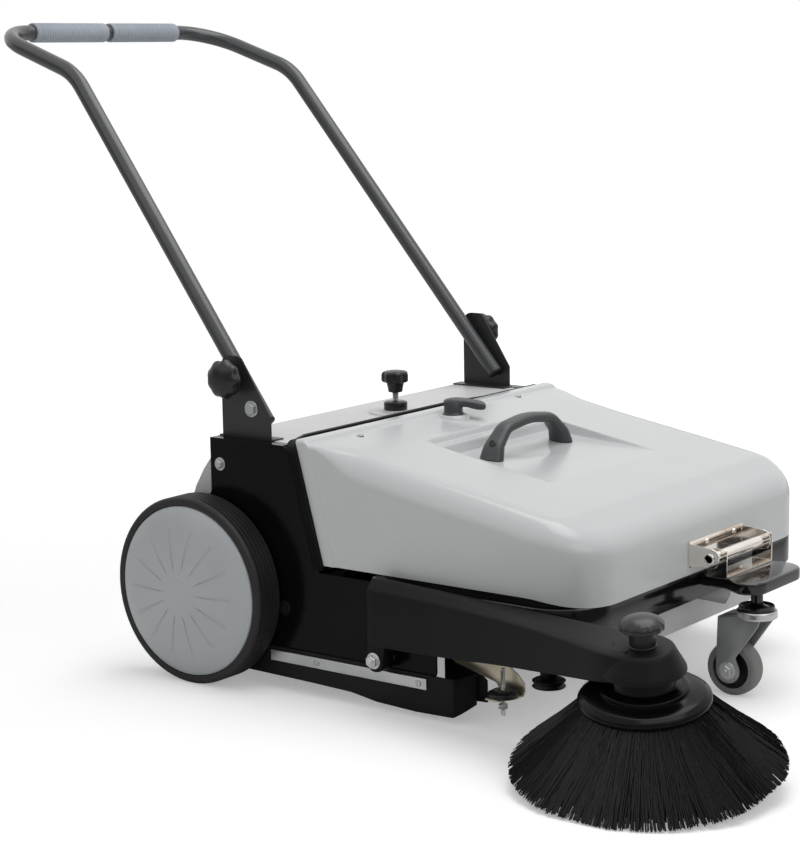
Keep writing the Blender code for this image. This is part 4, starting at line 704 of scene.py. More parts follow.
bead_rings = []
for step in range(21):
    x = -0.3215 + 0.643 * step / 20
    crest = 0.3788 - 0.0046 * between(x, 0.05, 0.20) - 0.0060 * between(abs(x), 0.312, 0.3215)
    outline = [
        (0.0045, 0.3660), (0.0045, crest - 0.0012), (0.0056, crest), (0.0104, crest),
        (0.0114, crest - 0.0012), (0.0117, 0.3660)
    ]
    bead_rings.append([(x, y, z) for y, z in outline])
lofted(bead_rings)
finished("seal_top_bead", "chassis", rubber, (), 35.0)

for side, word in SIDES:
    plan = [(SKIRT_X, y, low) for y, low in SKIRT_FOOT]
    for step in range(1, 6):
        turn = math.radians(80.0) * step / 5
        x = SKIRT_X - SKIRT_BEND_R * (1 - math.cos(turn))
        y = SKIRT_BEND - SKIRT_BEND_R * math.sin(turn)
        plan.append((x, y, 0.0100 + 0.0003 * step))
    plan += [(0.3180, -0.2886, 0.0135), (0.3040, -0.2912, 0.0170), (0.2900, -0.2936, 0.0205)]
    skirt_rings = []
    for (middle, run), (_, y, low) in zip(runs([Vector(spot[:2]) for spot in plan]), plan):
        outward = Vector((-run.y, run.x))
        ring_points = []
        levels = [low + (SKIRT_TOP - low) * level / 8 for level in range(9)]
        for face, order in ((0.0014, levels), (-0.0014, levels[::-1])):
            for level in order:
                wave = 0.0009 * math.sin(y * 95.0 + side) * (1.0 - (level - low) / (SKIRT_TOP - low))
                spot = middle + outward * (face + wave)
                ring_points.append((side * min(spot.x, 0.3344), spot.y, level))
        skirt_rings.append(ring_points)
    lofted(skirt_rings)
    rounded_off(0.0008, 2, 50.0)
    finished("side_skirt_sheet_" + word, "chassis", rubber, ("side_skirt_" + word,), 35.0)

for side, word in SIDES:
    slab("X", SKIRT_INNER, side * 0.2812, side * 0.2830)
    rounded_off(0.0006)
    finished("skirt_inner_" + word, "chassis", rubber, (), 30.0)

FLAP_LOW = 0.0080
FLAP_TALL = 0.0900
flap_rings = []
levels = [FLAP_LOW + FLAP_TALL * level / 8 for level in range(9)]
for step in range(33):
    x = -0.319 + 0.638 * step / 32
    ring_points = []
    for face, order in ((0.1902, levels), (0.1937, levels[::-1])):
        for level in order:
            wave = 0.0012 * math.sin(x * 38.0) * (1.0 - (level - FLAP_LOW) / FLAP_TALL)
            ring_points.append((x, face + wave, level))
    flap_rings.append(ring_points)
lofted(flap_rings)
rounded_off(0.0010, 2, 50.0)
finished("rear_flap", "chassis", rubber, ("rear_skirt",), 35.0)

# Clamping strips and drum cover: zinc-plated flat bars are screwed over the skirts with two pan-head screws
# each. The drum cover at the back and the dirt bin under the hood are pale sheet.
dressed(zinc, "skirt_strip_right", "skirt_strip_left", edge=0.0006)
dressed(pale_paint, "rear_housing", "hopper_bucket", edge=0.0008)


def pan_screw(place, axis, radius=0.0048, tall=0.0022):
    """A pan head with a cross recess."""
    profile = [(radius, 0.0), (radius, tall * 0.35), (radius * 0.92, tall * 0.75), (radius * 0.6, tall)]
    head = turned(profile, place, axis, 24)
    slot = 0.26 * radius
    cross = []
    for first, second in ((radius * 0.55, slot * 0.5), (slot * 0.5, radius * 0.55)):
        bpy.ops.mesh.primitive_cube_add(
            size=2.0, scale=(first, second, tall * 0.5), rotation=(0.0, 0.0, 0.6)
        )
        bar = bpy.context.object
        bar.rotation_mode = "QUATERNION"
        bar.rotation_quaternion = Vector(axis).to_track_quat("Z", "Y") @ bar.rotation_quaternion
        bar.location = Vector(place) + Vector(axis).normalized() * tall
        cross.append(bar)
    for bar in cross:
        pick(head)
        cut = head.modifiers.new("recess", "BOOLEAN")
        cut.object = bar
        cut.operation = "DIFFERENCE"
        bpy.ops.object.modifier_apply(modifier="recess")
        bpy.data.objects.remove(bar)
    pick(head)


for side, word in SIDES:
    for rank, y in enumerate((-0.042, -0.227)):
        pan_screw((side * 0.3368, y, 0.052), (side, 0, 0))
        finished("strip_screw_%s_%d" % (word, rank), "chassis", zinc, (), 30.0)

# Frame band and caster shelf: a gloss black steel rim that goes round the bin under the hood, and the
# tongue in front of it that carries the hinge and the swivel caster. A black rubber strip inside the hood's
# foot meets the rim and closes the gap above it; its black is partly a seal and partly painted shade there.
BAND_HALF = 0.326
BAND_FRONT = -0.489
plan = with_mirror([(-BAND_HALF, -0.2556, 0.164), (-BAND_HALF, BAND_FRONT, 0.164)])
plan = eased(plan, [0.078, 0.078], 16)
plan = [point for rank, point in enumerate(plan) if rank == 0 or (point - plan[rank - 1]).length > 0.0004]
section = [
    (-0.0020, -0.0220), (0.0005, -0.0220), (0.0020, -0.0205), (0.0020, 0.0200), (0.0012, 0.0214),
    (0.0, 0.0220), (-0.0115, 0.0220), (-0.0120, 0.0214), (-0.0120, 0.0190), (-0.0020, 0.0190)
]
band_rings = []
for point, run in runs(plan):
    outward = Vector((run.y, -run.x, 0.0))
    band_rings.append([point + outward * out + Vector((0.0, 0.0, rise)) for out, rise in section])
lofted(band_rings)
finished("frame_rim", "chassis", bright_black, ("frame_band",), 30.0)

# The strip's black fills the gap inside the hood's foot: partly a seal, partly painted shade.
RIM_SEAL_SHADE_HALF = 0.3192
rim_seal_shade_line = with_mirror([(-RIM_SEAL_SHADE_HALF, -0.160, 0.0), (-RIM_SEAL_SHADE_HALF, -0.486, 0.0)])
rim_seal_shade_line = eased(rim_seal_shade_line, [0.0772, 0.0772], 12)
rim_seal_shade_section = [(-0.0008, 0.1864), (0.0008, 0.1864), (0.0008, 0.1990), (-0.0008, 0.1990)]
rim_seal_shade_rings = []
for point, run in runs(rim_seal_shade_line):
    outward = Vector((run.y, -run.x, 0.0))
    rim_seal_shade_rings.append(
        [point + outward * out + Vector((0.0, 0.0, level)) for out, level in rim_seal_shade_section]
    )
lofted(rim_seal_shade_rings)
finished("hood_rim_seal_shade", "hopper", rubber, (), 30.0)

gusset_line = [
    (-0.0600, 0.1450), (-0.0130, 0.1425), (0.0660, 0.1180), (0.0705, 0.1172), (0.0735, 0.1186),
    (0.0850, 0.1270), (0.0900, 0.1450)
]
slab("Y", gusset_line, -0.4896, -0.4878)
rounded_off(0.0004, 2, 60.0)
finished("tongue_gusset", "chassis", bright_black, (), 30.0)

tongue = [
    (-0.0115, -0.4914, 0.0), (-0.0150, -0.5350, 0.0), (-0.0330, -0.5650, 0.0), (-0.0330, -0.5975, 0.0)
]
tongue = eased(tongue + [(0.1225, -0.5975, 0.0), (0.1225, -0.4914, 0.0)], [0.030, 0.012, 0.028, 0.036], 12)
slab("Z", [point.xy for point in tongue], 0.1625, 0.1800)
rounded_off(0.0035, 4, 60.0)
finished("caster_tongue", "chassis", bright_black, ("caster_shelf",), 40.0)

# Rear wheels: black rubber tyres with grooved treads on grey moulded discs. Each disc is domed, with thin
# radial grooves and a small bright pin at its middle, and it is pressed on the wheel shaft.
WHEEL_R = 0.1415
WHEEL_IN = 0.335
WHEEL_OUT = 0.385
DISC_R = 0.1282
DOME = 0.0215
SPOKES = 14
wheel_grey = wear("wheel_plastic", (0.470, 0.492, 0.505), (0.445, 0.467, 0.480), 800.0, 0.00005, 0.42, 0.10)
tyre_black = wear(
    "tyre_rubber", (0.013, 0.013, 0.013), (0.019, 0.019, 0.019), 700.0, 0.00010, 0.55, 0.14,
    Specular_IOR_Level=0.40
)

tread = [
    (0.1284, WHEEL_IN + 0.002), (0.1300, WHEEL_IN + 0.0004), (0.1370, WHEEL_IN),
    (0.1398, WHEEL_IN + 0.0012), (WHEEL_R, WHEEL_IN + 0.0040)
]
for rank in range(5):
    middle = WHEEL_IN + 0.0095 + 0.0078 * rank
    tread += [
        (WHEEL_R, middle - 0.0016), (WHEEL_R - 0.0022, middle - 0.0010),
        (WHEEL_R - 0.0022, middle + 0.0010), (WHEEL_R, middle + 0.0016)
    ]
tread += [
    (WHEEL_R, WHEEL_OUT - 0.0042), (0.1400, WHEEL_OUT - 0.0016), (0.1378, WHEEL_OUT - 0.0002),
    (0.1350, WHEEL_OUT), (0.1340, WHEEL_OUT - 0.0005), (0.1326, WHEEL_OUT - 0.0005), (0.1316, WHEEL_OUT),
    (0.1296, WHEEL_OUT - 0.0002)
]
tread += [(0.1284, WHEEL_OUT - 0.0020), tread[0]]
turns = []
for spoke in range(SPOKES):
    start = 2 * math.pi * spoke / SPOKES
    turns += [
        (start + shift, share)
        for shift, share in ((-0.034, 0.0), (-0.016, 0.85), (0.0, 1.0), (0.016, 0.85), (0.034, 0.0))
    ]
    turns += [(start + 0.034 + 0.0476 * step, 0.0) for step in range(1, 8)]
radii = [
    0.1275, 0.1262, 0.1235, 0.1190, 0.1130, 0.1065, 0.1005, 0.0985, 0.0960, 0.0930, 0.0860, 0.0780, 0.0700,
    0.0620, 0.0550, 0.0490, 0.0440, 0.0400, 0.0370, 0.0340, 0.0310, 0.0290, 0.0250, 0.0225, 0.0205, 0.0150,
    0.0080, 0.0020
]


def disc_point(side, radius, turn, share):
    slope = math.sqrt(max(0.0, 1.0 - (radius / 0.1300) ** 2))
    out = WHEEL_OUT - 0.004 + (DOME + 0.004) * slope
    window = between(radius, 0.0300, 0.0420) * (1.0 - between(radius, 0.0930, 0.0995))
    out -= 0.0018 * share * window + 0.0010 * between(radius, 0.0190, 0.0235)
    return side * out, WHEEL_BACK + radius * math.cos(turn), WHEEL_R + radius * math.sin(turn)


for side, word in SIDES:
    axle = (0.0, WHEEL_BACK, WHEEL_R)
    turned(tread, axle, (side, 0, 0), 120)
    finished(word + "_tyre_grooved", word + "_wheel", tyre_black, (word + "_tyre",), 30.0)
    rim_steps = [(0.1240, WHEEL_IN + 0.004), (DISC_R, WHEEL_IN + 0.004), (DISC_R, WHEEL_OUT - 0.0022)]
    flat = []
    for radius, out in rim_steps:
        circle = [(radius * math.cos(turn), radius * math.sin(turn)) for turn, _ in turns]
        flat.append([(side * out, WHEEL_BACK + y, WHEEL_R + z) for y, z in circle])
    lofted(flat + [[disc_point(side, radius, turn, share) for turn, share in turns] for radius in radii])
    finished(word + "_disc_grooved", word + "_wheel", wheel_grey, (word + "_disc",), 35.0)
    tip = (side * (WHEEL_OUT + DOME - 0.0014), WHEEL_BACK, WHEEL_R)
    turned([(0.0032, 0.0), (0.0032, 0.0006), (0.0022, 0.0012)], tip, (side, 0, 0), 20)
    finished(word + "_centre_pin", word + "_wheel", zinc, (), 35.0)
dressed(zinc, "right_shaft", "left_shaft")
dressed(moulded_black, "drive_pulley")
dressed(rubber, "drive_belt")

# Main brush: rows of black bristles wound on a plastic core between the side panels. One bristle is
# modelled, and the rows are made of copies of it.
CORE_R = 0.0405
BRUSH_R = 0.124
BRUSH_Y = 0.020
BRUSH_Z = 0.125
BRISTLE_ROWS = 8
bristle_black = Finish("bristle_nylon", Roughness=0.42, Specular_IOR_Level=0.25)
# The lighter streaks in the bristles' colour are painted sheen; the same streaks also vary the roughness.
sheen_streak = bristle_black.noise(260.0, 2.0, (1.0, 1.0, 0.25))
bristle_black.set(
    Base_Color=bristle_black.blend(sheen_streak.step(0.52, 0.80), (0.002, 0.002, 0.002), (0.016, 0.0165, 0.017))
)
bristle_black.set(Roughness=0.34 + 0.20 * sheen_streak)
dressed(moulded_black, "main_brush_core")


def one_bristle(sides, cuts):
    """A thin bristle standing on the origin, one unit tall: a cone cut across."""
    clear()
    bpy.ops.mesh.primitive_cone_add(
        vertices=sides, radius1=1.0, radius2=0.9, depth=1.0, end_fill_type="NOTHING", location=(0, 0, 0.5)
    )
    strand = bpy.context.object
    bpy.ops.object.mode_set(mode="EDIT")
    for step in range(1, cuts):
        bpy.ops.mesh.select_all(action="SELECT")
        bpy.ops.mesh.bisect(plane_co=(0, 0, step / cuts), plane_no=(0, 0, 1))
    bpy.ops.object.mode_set(mode="OBJECT")
    bpy.ops.object.transform_apply(location=True, rotation=True, scale=True)
    return strand


def bristles(strand, placings, radius):
    """Copies of a bristle along short curves, joined as one mesh. A placing is root, bend point and tip."""
    points = [tuple(vert.co) for vert in strand.data.vertices]
    faces = [tuple(face.vertices) for face in strand.data.polygons]
    verts = []
    polygons = []
    for root, bend, tip in placings:
        run = (tip - root).normalized()
        first = run.orthogonal().normalized()
        second = run.cross(first)
        start = len(verts)
        for x, y, share in points:
            middle = root * (1 - share) ** 2 + bend * (2 * share * (1 - share)) + tip * share ** 2
            verts.append(middle + first * (x * radius) + second * (y * radius))
        polygons += [tuple(start + corner for corner in face) for face in faces]
    mesh = bpy.data.meshes.new("bristles")
    mesh.from_pydata(verts, [], polygons)
    bpy.data.objects.remove(strand)
    field = bpy.data.objects.new("bristles", mesh)
    scene.collection.objects.link(field)
    pick(field)


draw = random.Random(11)
placings = []
for row in range(BRISTLE_ROWS):
    for tuft in range(84):
        x = -0.292 + 0.584 * tuft / 83
        turn = 2 * math.pi * row / BRISTLE_ROWS + 1.1 * abs(x) / 0.292
        for count in range(9):
            spread = turn + draw.uniform(-0.035, 0.035)
            end = turn + draw.uniform(-0.115, 0.115) + 0.03
            reach = BRUSH_R - abs(draw.gauss(0.0, 0.0012))
            start_x = x + draw.uniform(-0.002, 0.002)
            end_x = x + draw.uniform(-0.006, 0.006)
            low = Vector(
                (start_x, BRUSH_Y + CORE_R * math.cos(spread), BRUSH_Z + CORE_R * math.sin(spread))
            )
            high = Vector((end_x, BRUSH_Y + reach * math.cos(end), BRUSH_Z + reach * math.sin(end)))
            placings.append((low, (low + high) / 2 + Vector((draw.uniform(-0.002, 0.002), 0.0, 0.0)), high))
bristles(one_bristle(4, 2), placings, 0.0007)
finished("main_brush_rows", "main_brush", bristle_black, ("main_brush_bristles",), 60.0)

# Push handle: one steel tube bent to a hoop, enamelled dark grey, with two soft grey grips on its bar and
# black plugs in its ends. It folds on two bolts between the brackets, and lobed knobs clamp it.
TUBE_R = 0.0125
TUBE_ROUTE = with_mirror([(-0.2953, 0.0763, 0.3930), (-0.2620, 0.4831, 0.9040), (-0.2560, 0.6720, 0.9700)])
tube_enamel = wear(
    "tube_enamel", (0.052, 0.054, 0.057), (0.045, 0.047, 0.049), 500.0, 0.000008, 0.26, 0.06,
    Coat_Weight=0.15
)
bracket_enamel = wear(
    "bracket_enamel", (0.017, 0.018, 0.020), (0.024, 0.025, 0.027), 600.0, 0.00004, 0.34, 0.12
)
grip_foam = wear("grip_sleeve", (0.350, 0.385, 0.430), (0.300, 0.330, 0.370), 620.0, 0.00016, 0.66, 0.14)


def piped(points, radius):
    """A round tube along a line of points, closed at both ends."""
    clear()
    bpy.ops.curve.primitive_nurbs_path_add()
    wire = bpy.context.object
    wire.data.splines.clear()
    spline = wire.data.splines.new("POLY")
    spline.points.add(len(points) - 1)
    for knot, point in zip(spline.points, points):
        knot.co = (*point, 1.0)
    wire.data.dimensions = "3D"
    wire.data.bevel_depth = radius
    wire.data.bevel_resolution = 6
    wire.data.use_fill_caps = True
    bpy.ops.object.convert(target="MESH")
    return bpy.context.object


route = eased(TUBE_ROUTE, [0.100, 0.080, 0.080, 0.100], 18)
piped(route, TUBE_R)
finished("handle_hoop", "push_handle", tube_enamel, ("handle_tube",), 40.0)
for side, word in SIDES:
    end = route[0] if side < 0 else route[-1]
    inner = route[1] if side < 0 else route[-2]
    down = (end - inner).normalized()
    profile = [
        (0.0105, -0.003), (0.0105, 0.0), (0.0127, 0.0002), (0.0127, 0.0022), (0.0112, 0.0040),
        (0.0060, 0.0048)
    ]
    turned(profile, end, down, 32)
    finished("tube_plug_" + word, "push_handle", moulded_black, (), 30.0)
for word, low, high in (("right", -0.1700, -0.0050), ("left", 0.0070, 0.1680)):
    profile = [(0.0126, low), (0.0150, low), (0.0158, low + 0.0012), (0.0160, low + 0.0030)]
    steps = int((high - low - 0.012) / 0.0055)
    for rank in range(steps):
        start = low + 0.006 + rank * 0.0055
        profile += [
            (0.0160, start), (0.0160, start + 0.0036), (0.0154, start + 0.0042), (0.0154, start + 0.0049)
        ]
    profile += [
        (0.0160, high - 0.0055), (0.0160, high - 0.0030), (0.0158, high - 0.0012), (0.0150, high),
        (0.0126, high)
    ]
    turned(profile, (0.0, 0.6720, 0.9700), (1, 0, 0), 40)
    finished("grip_sleeve_" + word, "push_handle", grip_foam, ("grip_" + word,), 30.0)

# Brackets and knobs of the push handle: dark steel plates on folded feet, hexagon bolts through the tube,
# and black lobed knobs on glossy hubs.
FOLD = (0.092, 0.412)
CLAMP = (0.1253, 0.4565)
FOOT_PLAN = [(0.2860, 0.052), (0.3104, 0.052), (0.3104, 0.1575), (0.2860, 0.1575)]
knob_black = wear(
    "knob_plastic", (0.010, 0.010, 0.011), (0.015, 0.015, 0.016), 900.0, 0.00003, 0.28, 0.10,
    Specular_IOR_Level=0.40
)
dressed(bracket_enamel, "handle_bracket_right", "handle_bracket_left", edge=0.0007)


def lobed(place, axis, radius, wave, lobes, stations):
    """A knob head: a circle drawn with lobes, extruded and scaled at each height of its stations."""
    turn = Vector(axis).to_track_quat("Z", "Y")
    rings = []
    for tall, scale in stations:
        ring_points = []
        for step in range(lobes * 16):
            angle = 2 * math.pi * step / (lobes * 16)
            fall = min(1.0, scale ** 5)
            reach = (radius + wave * fall * math.cos(lobes * angle)) * scale
            ring_points.append(
                Vector(place) + turn @ Vector((reach * math.cos(angle), reach * math.sin(angle), tall))
            )
        rings.append(ring_points)
    return lofted(rings)


def round_stations(low, rim, high):
    """Heights and widths of a deep knob head whose front is a round dome."""
    stations = [(low, 0.42), (low, 0.72), (low + 0.0015, 0.80)]
    stations += [
        (low + (rim - low) * step / 4, 0.80 + 0.20 * math.sin(math.pi / 2 * step / 4))
        for step in range(1, 5)
    ]
    stations += [
        (rim + (high - rim) * math.sin(math.pi / 2 * step / 9), math.cos(math.pi / 2 * step / 9) ** 0.8)
        for step in range(1, 9)
    ]
    return stations + [(high, 0.04)]


def dome_stations(low, high, crown, foot=0.82, top=0.80):
    """Heights and widths of a knob head with rounded edges and a low crown."""
    stations = [(low, foot * 0.55), (low, foot)]
    stations += [
        (
            low + 0.004 * (1 - math.cos(math.pi / 2 * step / 4)),
            foot + (1 - foot) * math.sin(math.pi / 2 * step / 4)
        )
        for step in range(1, 5)
    ]
    stations += [
        (
            high - 0.006 + 0.006 * math.sin(math.pi / 2 * step / 5),
            top + (1 - top) * math.cos(math.pi / 2 * step / 5)
        )
        for step in range(6)
    ]
    stations += [
        (high + crown * 0.5, top * 0.75), (high + crown * 0.85, top * 0.42), (high + crown, top * 0.10)
    ]
    return stations


for side, word in SIDES:
    slab("Z", [(side * x, y) for x, y in FOOT_PLAN], 0.3667, 0.3689)
    rounded_off(0.0006)
    finished("bracket_foot_" + word, "chassis", bracket_enamel, (), 30.0)
    shank = turned([(0.0042, 0.2850), (0.0042, 0.3120)], (0.0, *FOLD), (side, 0, 0), 24)
    washer = turned([(0.0125, 0.3106), (0.0125, 0.3118), (0.0120, 0.3122)], (0.0, *FOLD), (side, 0, 0), 32)
    head = turned([(0.0094, 0.3120), (0.0094, 0.3162), (0.0082, 0.3170)], (0.0, *FOLD), (side, 0, 0), 6)
    joined(shank, washer, head)
    finished("fold_bolt_hex_" + word, "chassis", zinc, ("fold_bolt_" + word,), 30.0)
    head = lobed((0.0, *CLAMP), (side, 0, 0), 0.0285, 0.0013, 9, round_stations(0.3195, 0.3330, 0.3480))
    hub = turned(
        [(0.0042, 0.3046), (0.0042, 0.3109), (0.0130, 0.3111), (0.0140, 0.3160), (0.0160, 0.3210)],
        (0.0, *CLAMP), (side, 0, 0), 40
    )
    joined(head, hub)
    finished(
        "clamp_knob_lobed_" + word, word + "_clamp", knob_black, ("clamp_knob_" + word,),
        35.0
    )

# Carrying handle: a dark grey moulded bridge screwed down in the hood's tray. Its section is a soft oblong
# that widens into two feet, and each foot has a sunk screw.
HANDLE_Y = -0.187
dark_plastic = wear(
    "dark_grey_plastic", (0.050, 0.053, 0.056), (0.042, 0.045, 0.047), 900.0, 0.00006, 0.40, 0.12
)


def oblong(half_wide, half_tall, power=3.2, count=24):
    """The outline of a soft-cornered oblong."""
    outline = []
    for step in range(count):
        turn = 2 * math.pi * step / count
        across, rise = math.cos(turn), math.sin(turn)
        outline.append((
            math.copysign(abs(across) ** (2 / power), across) * half_wide,
            math.copysign(abs(rise) ** (2 / power), rise) * half_tall,
        ))
    return outline


bridge_line = [(-0.0940, 0.0, 0.3280), (-0.0870, 0.0, 0.3480), (-0.0600, 0.0, 0.3722)]
bridge_line += [(0.0, 0.0, 0.3800)] + [(-x, y, z) for x, y, z in reversed(bridge_line)]
bridge = eased(bridge_line, [0.022, 0.035, 0.200, 0.035, 0.022], 8)
bridge_rings = []
for point, run in runs(bridge):
    out = Vector((-run.z, 0.0, run.x))
    swell = 1.0 - between(point.z, 0.324, 0.372)
    bridge_rings.append([
        (
            point.x + out.x * rise * (1 + 0.62 * swell), HANDLE_Y + side * (1 + 0.46 * swell),
            point.z + out.z * rise
        )
        for side, rise in oblong(0.0132, 0.0080, 2.6, 32)
    ])
lofted(bridge_rings)
finished("carry_bridge", "hopper", dark_plastic, ("carry_handle",), 50.0)

# Small parts of the hood: the low round boss under the latch, which is moulded with the hood, and zinc-
# plated pan screws on the lip. The two sunk screws that hold the carrying handle are drawn black: painted
# shade for the dark holes they sit in.
LATCH = Vector((0.003, -0.048, 0.0))
boss_top = [(0.0275, 0.3600), (0.0232, 0.3696), (0.0215, 0.3716), (0.0200, 0.3722)]
turned(boss_top, LATCH, count=56)
finished("latch_seat", "hopper", cover_finish, (), 40.0)
for rank, (x, y) in enumerate(((-0.2173, -0.0373), (0.2090, -0.0290))):
    pan_screw((x, y, hood_height(x, y) - 0.0002), (0.0, 0.10, 1.0), 0.0058, 0.0026)
    finished("lip_screw_%d" % rank, "hopper", zinc, (), 30.0)
# These black screw heads are painted shade: they stand for the dark holes in the handle's feet.
for rank, x in enumerate((-0.0950, 0.0950)):
    pan_screw((x, HANDLE_Y - 0.002, 0.3540), (math.copysign(0.90, x), 0.0, 0.44), 0.0056, 0.0010)
    finished("bridge_screw_shade_%d" % rank, "hopper", knob_black, (), 30.0)

# Latch lever: a dark grey moulded wing on a round hub, turned by hand through a quarter. Its zinc-plated
# cam sits on the same spindle under the hood.
WING_TURN = math.radians(-56.0)
wing_rings = []
wing_run = Vector((math.cos(WING_TURN), math.sin(WING_TURN), 0.0))
wing_side = Vector((-wing_run.y, wing_run.x, 0.0))
for far, wide, thick, rise in (
    (-0.0150, 0.0070, 0.0044, 0.3895), (-0.0120, 0.0112, 0.0062, 0.3895), (-0.004, 0.0140, 0.0076, 0.3900),
    (0.0050, 0.0136, 0.0076, 0.3904), (0.0130, 0.0112, 0.0070, 0.3904), (0.0210, 0.0106, 0.0068, 0.3896),
    (0.0290, 0.0112, 0.0070, 0.3876), (0.0370, 0.0122, 0.0072, 0.3860), (0.0430, 0.0122, 0.0068, 0.3854),
    (0.0475, 0.0104, 0.0056, 0.3846), (0.0500, 0.0064, 0.0036, 0.3842), (0.0506, 0.0020, 0.0014, 0.3840),
):
    bow = 0.0035 * math.sin(math.pi * max(0.0, far) / 0.049)
    middle = LATCH + wing_run * far + wing_side * bow + Vector((0.0, 0.0, rise))
    wing_rings.append(
        [
            middle + wing_side * across + Vector((0.0, 0.0, up))
            for across, up in oblong(wide, thick, 2.8, 28)
        ]
    )
wing = lofted(wing_rings)
hub_profile = [
    (0.0170, 0.3726), (0.0172, 0.3736), (0.0160, 0.3742), (0.0150, 0.3752), (0.0146, 0.3800),
    (0.0148, 0.3920), (0.0120, 0.3960)
]
joined(wing, turned(hub_profile, LATCH, count=48))
finished("latch_wing", "latch_lever", dark_plastic, ("latch_handle",), 40.0)
dressed(zinc, "latch_cam")

# Height knob: it raises and lowers the main brush. A bright screw stands in a black collar nut on the pale
# plate, under a lobed head with a cone-shaped hub.
KNOB_Y = 0.0625
turned([(0.0215, 0.3686), (0.0213, 0.3700), (0.0200, 0.3706)], (0.0, KNOB_Y, 0.0), count=56)
finished("height_ring", "chassis", pale_paint, (), 35.0)
nut_profile = [
    (0.0180, 0.3707), (0.0186, 0.3720), (0.0186, 0.3815), (0.0180, 0.3832), (0.0160, 0.3838),
    (0.0150, 0.3834), (0.0140, 0.3846), (0.0060, 0.3850)
]
turned(nut_profile, (0.0, KNOB_Y, 0.0), count=48)
finished("height_collar", "chassis", knob_black, ("height_nut",), 30.0)
thread = [(0.0038, 0.3858)]
for rank in range(10):
    thread += [(0.0050, 0.3863 + rank * 0.00125), (0.0044, 0.3869 + rank * 0.00125)]
turned(thread + [(0.0038, 0.3990)], (0.0, KNOB_Y, 0.0), count=24)
finished("height_thread", "height_knob", zinc, ("height_screw",), 30.0)
head = lobed((0.0, KNOB_Y, 0.0), (0, 0, 1), 0.0204, 0.0015, 7, dome_stations(0.4145, 0.4320, 0.0016))
cone = turned(
    [(0.0100, 0.3990), (0.0112, 0.3996), (0.0120, 0.4050), (0.0135, 0.4120), (0.0150, 0.4160)],
    (0.0, KNOB_Y, 0.0), count=48
)
joined(head, cone)
finished("height_knob_lobed", "height_knob", knob_black, ("height_knob_head",), 35.0)

# Front hinge: nickel-plated pressed leaves on the hood and on the tongue, and the tube that joins them,
# with a stop ring at one end. Two pan screws hold the leaf.
HINGE = (0.028, -0.530, 0.2125)
nickel = wear(
    "nickel_plate", (0.92, 0.87, 0.82), (0.82, 0.77, 0.72), 180.0, 0.00001, 0.08, 0.04, Metallic=1.0
)
dressed(nickel, "hinge_leaf", "hinge_base", edge=0.0006)
tube_profile = [
    (0.0052, -0.0660), (0.0052, -0.0800), (0.0074, -0.0803), (0.0082, -0.0795), (0.0082, -0.0750),
    (0.0094, -0.0747), (0.0094, -0.0700), (0.0082, -0.0697), (0.0082, 0.0864), (0.0076, 0.0870),
    (0.0052, 0.0870), (0.0052, -0.0660)
]
turned(tube_profile, HINGE, (1, 0, 0), 40)
finished("hinge_barrel", "chassis", nickel, ("hinge_tube",), 35.0)
for rank, x in enumerate((-0.028, 0.052)):
    pan_screw((HINGE[0] + x, -0.4978, 0.2262), (0, -1, 0), 0.0040, 0.0020)
    finished("leaf_screw_%d" % rank, "hopper", nickel, (), 30.0)

# Swivel caster: a pressed grey fork under a bright ball race and a black cap, with a solid grey tyre on a
# black rim, turning on a hexagon bolt.
CASTER = (0.020, -0.568)
CASTER_AXLE = (0.020, -0.534, 0.040)
pressed_grey = wear(
    "pressed_grey", (0.34, 0.35, 0.35), (0.28, 0.29, 0.29), 320.0, 0.00003, 0.34, 0.12, Metallic=0.55
)
grey_rubber = wear("grey_tyre", (0.225, 0.225, 0.215), (0.190, 0.190, 0.182), 520.0, 0.00006, 0.55, 0.12)


def both_halves(profile):
    """A closed profile from the half of it below its middle."""
    return profile + [(radius, -height) for radius, height in reversed(profile)] + profile[:1]


cap_profile = [
    (0.0080, 0.1622), (0.0088, 0.1612), (0.0088, 0.1400), (0.0110, 0.1378), (0.0150, 0.1364),
    (0.0180, 0.1352), (0.0215, 0.1360), (0.0235, 0.1374), (0.0250, 0.1376), (0.0260, 0.1364),
    (0.0262, 0.1340), (0.0256, 0.1318)
]
turned(cap_profile, (*CASTER, 0.0), count=64)
finished("caster_cap", "chassis", bright_black, ("caster_stem",), 35.0)
race_profile = [
    (0.0265, 0.1312), (0.0288, 0.1306), (0.0297, 0.1294), (0.0300, 0.1276), (0.0294, 0.1256),
    (0.0300, 0.1236), (0.0298, 0.1206), (0.0290, 0.1196)
]
turned(race_profile, (*CASTER, 0.0), count=72)
finished("caster_race", "caster_fork", zinc, (), 35.0)
FORK_CHEEKS = (-0.0036, -0.0011, 0.0411, 0.0436)
cheek_line = [
    (-0.5680, 0.1250), (-0.5472, 0.1236), (-0.5190, 0.1190), (-0.5172, 0.1172), (-0.5160, 0.0800),
    (-0.5150, 0.0470)
]
for step in range(1, 12):
    turn = math.radians(10.0 - 19.1 * step)
    cheek_line.append((CASTER_AXLE[1] + 0.0190 * math.cos(turn), CASTER_AXLE[2] + 0.0190 * math.sin(turn)))
cheek_line += [
    (-0.5490, 0.0530), (-0.5462, 0.0600), (-0.5820, 0.1110), (-0.5850, 0.1200), (-0.5850, 0.1250)
]
cheeks = []
for inner, outer in (FORK_CHEEKS[:2], FORK_CHEEKS[2:]):
    cheeks.append(slab("X", cheek_line, inner, outer))
    rounded_off(0.0008, 2, 30.0)
roof_line = [
    (CASTER[0] + 0.0285 * math.cos(turn), CASTER[1] + 0.0285 * math.sin(turn))
    for turn in [math.radians(-214.0 + 11.0 * step) for step in range(24)]
]
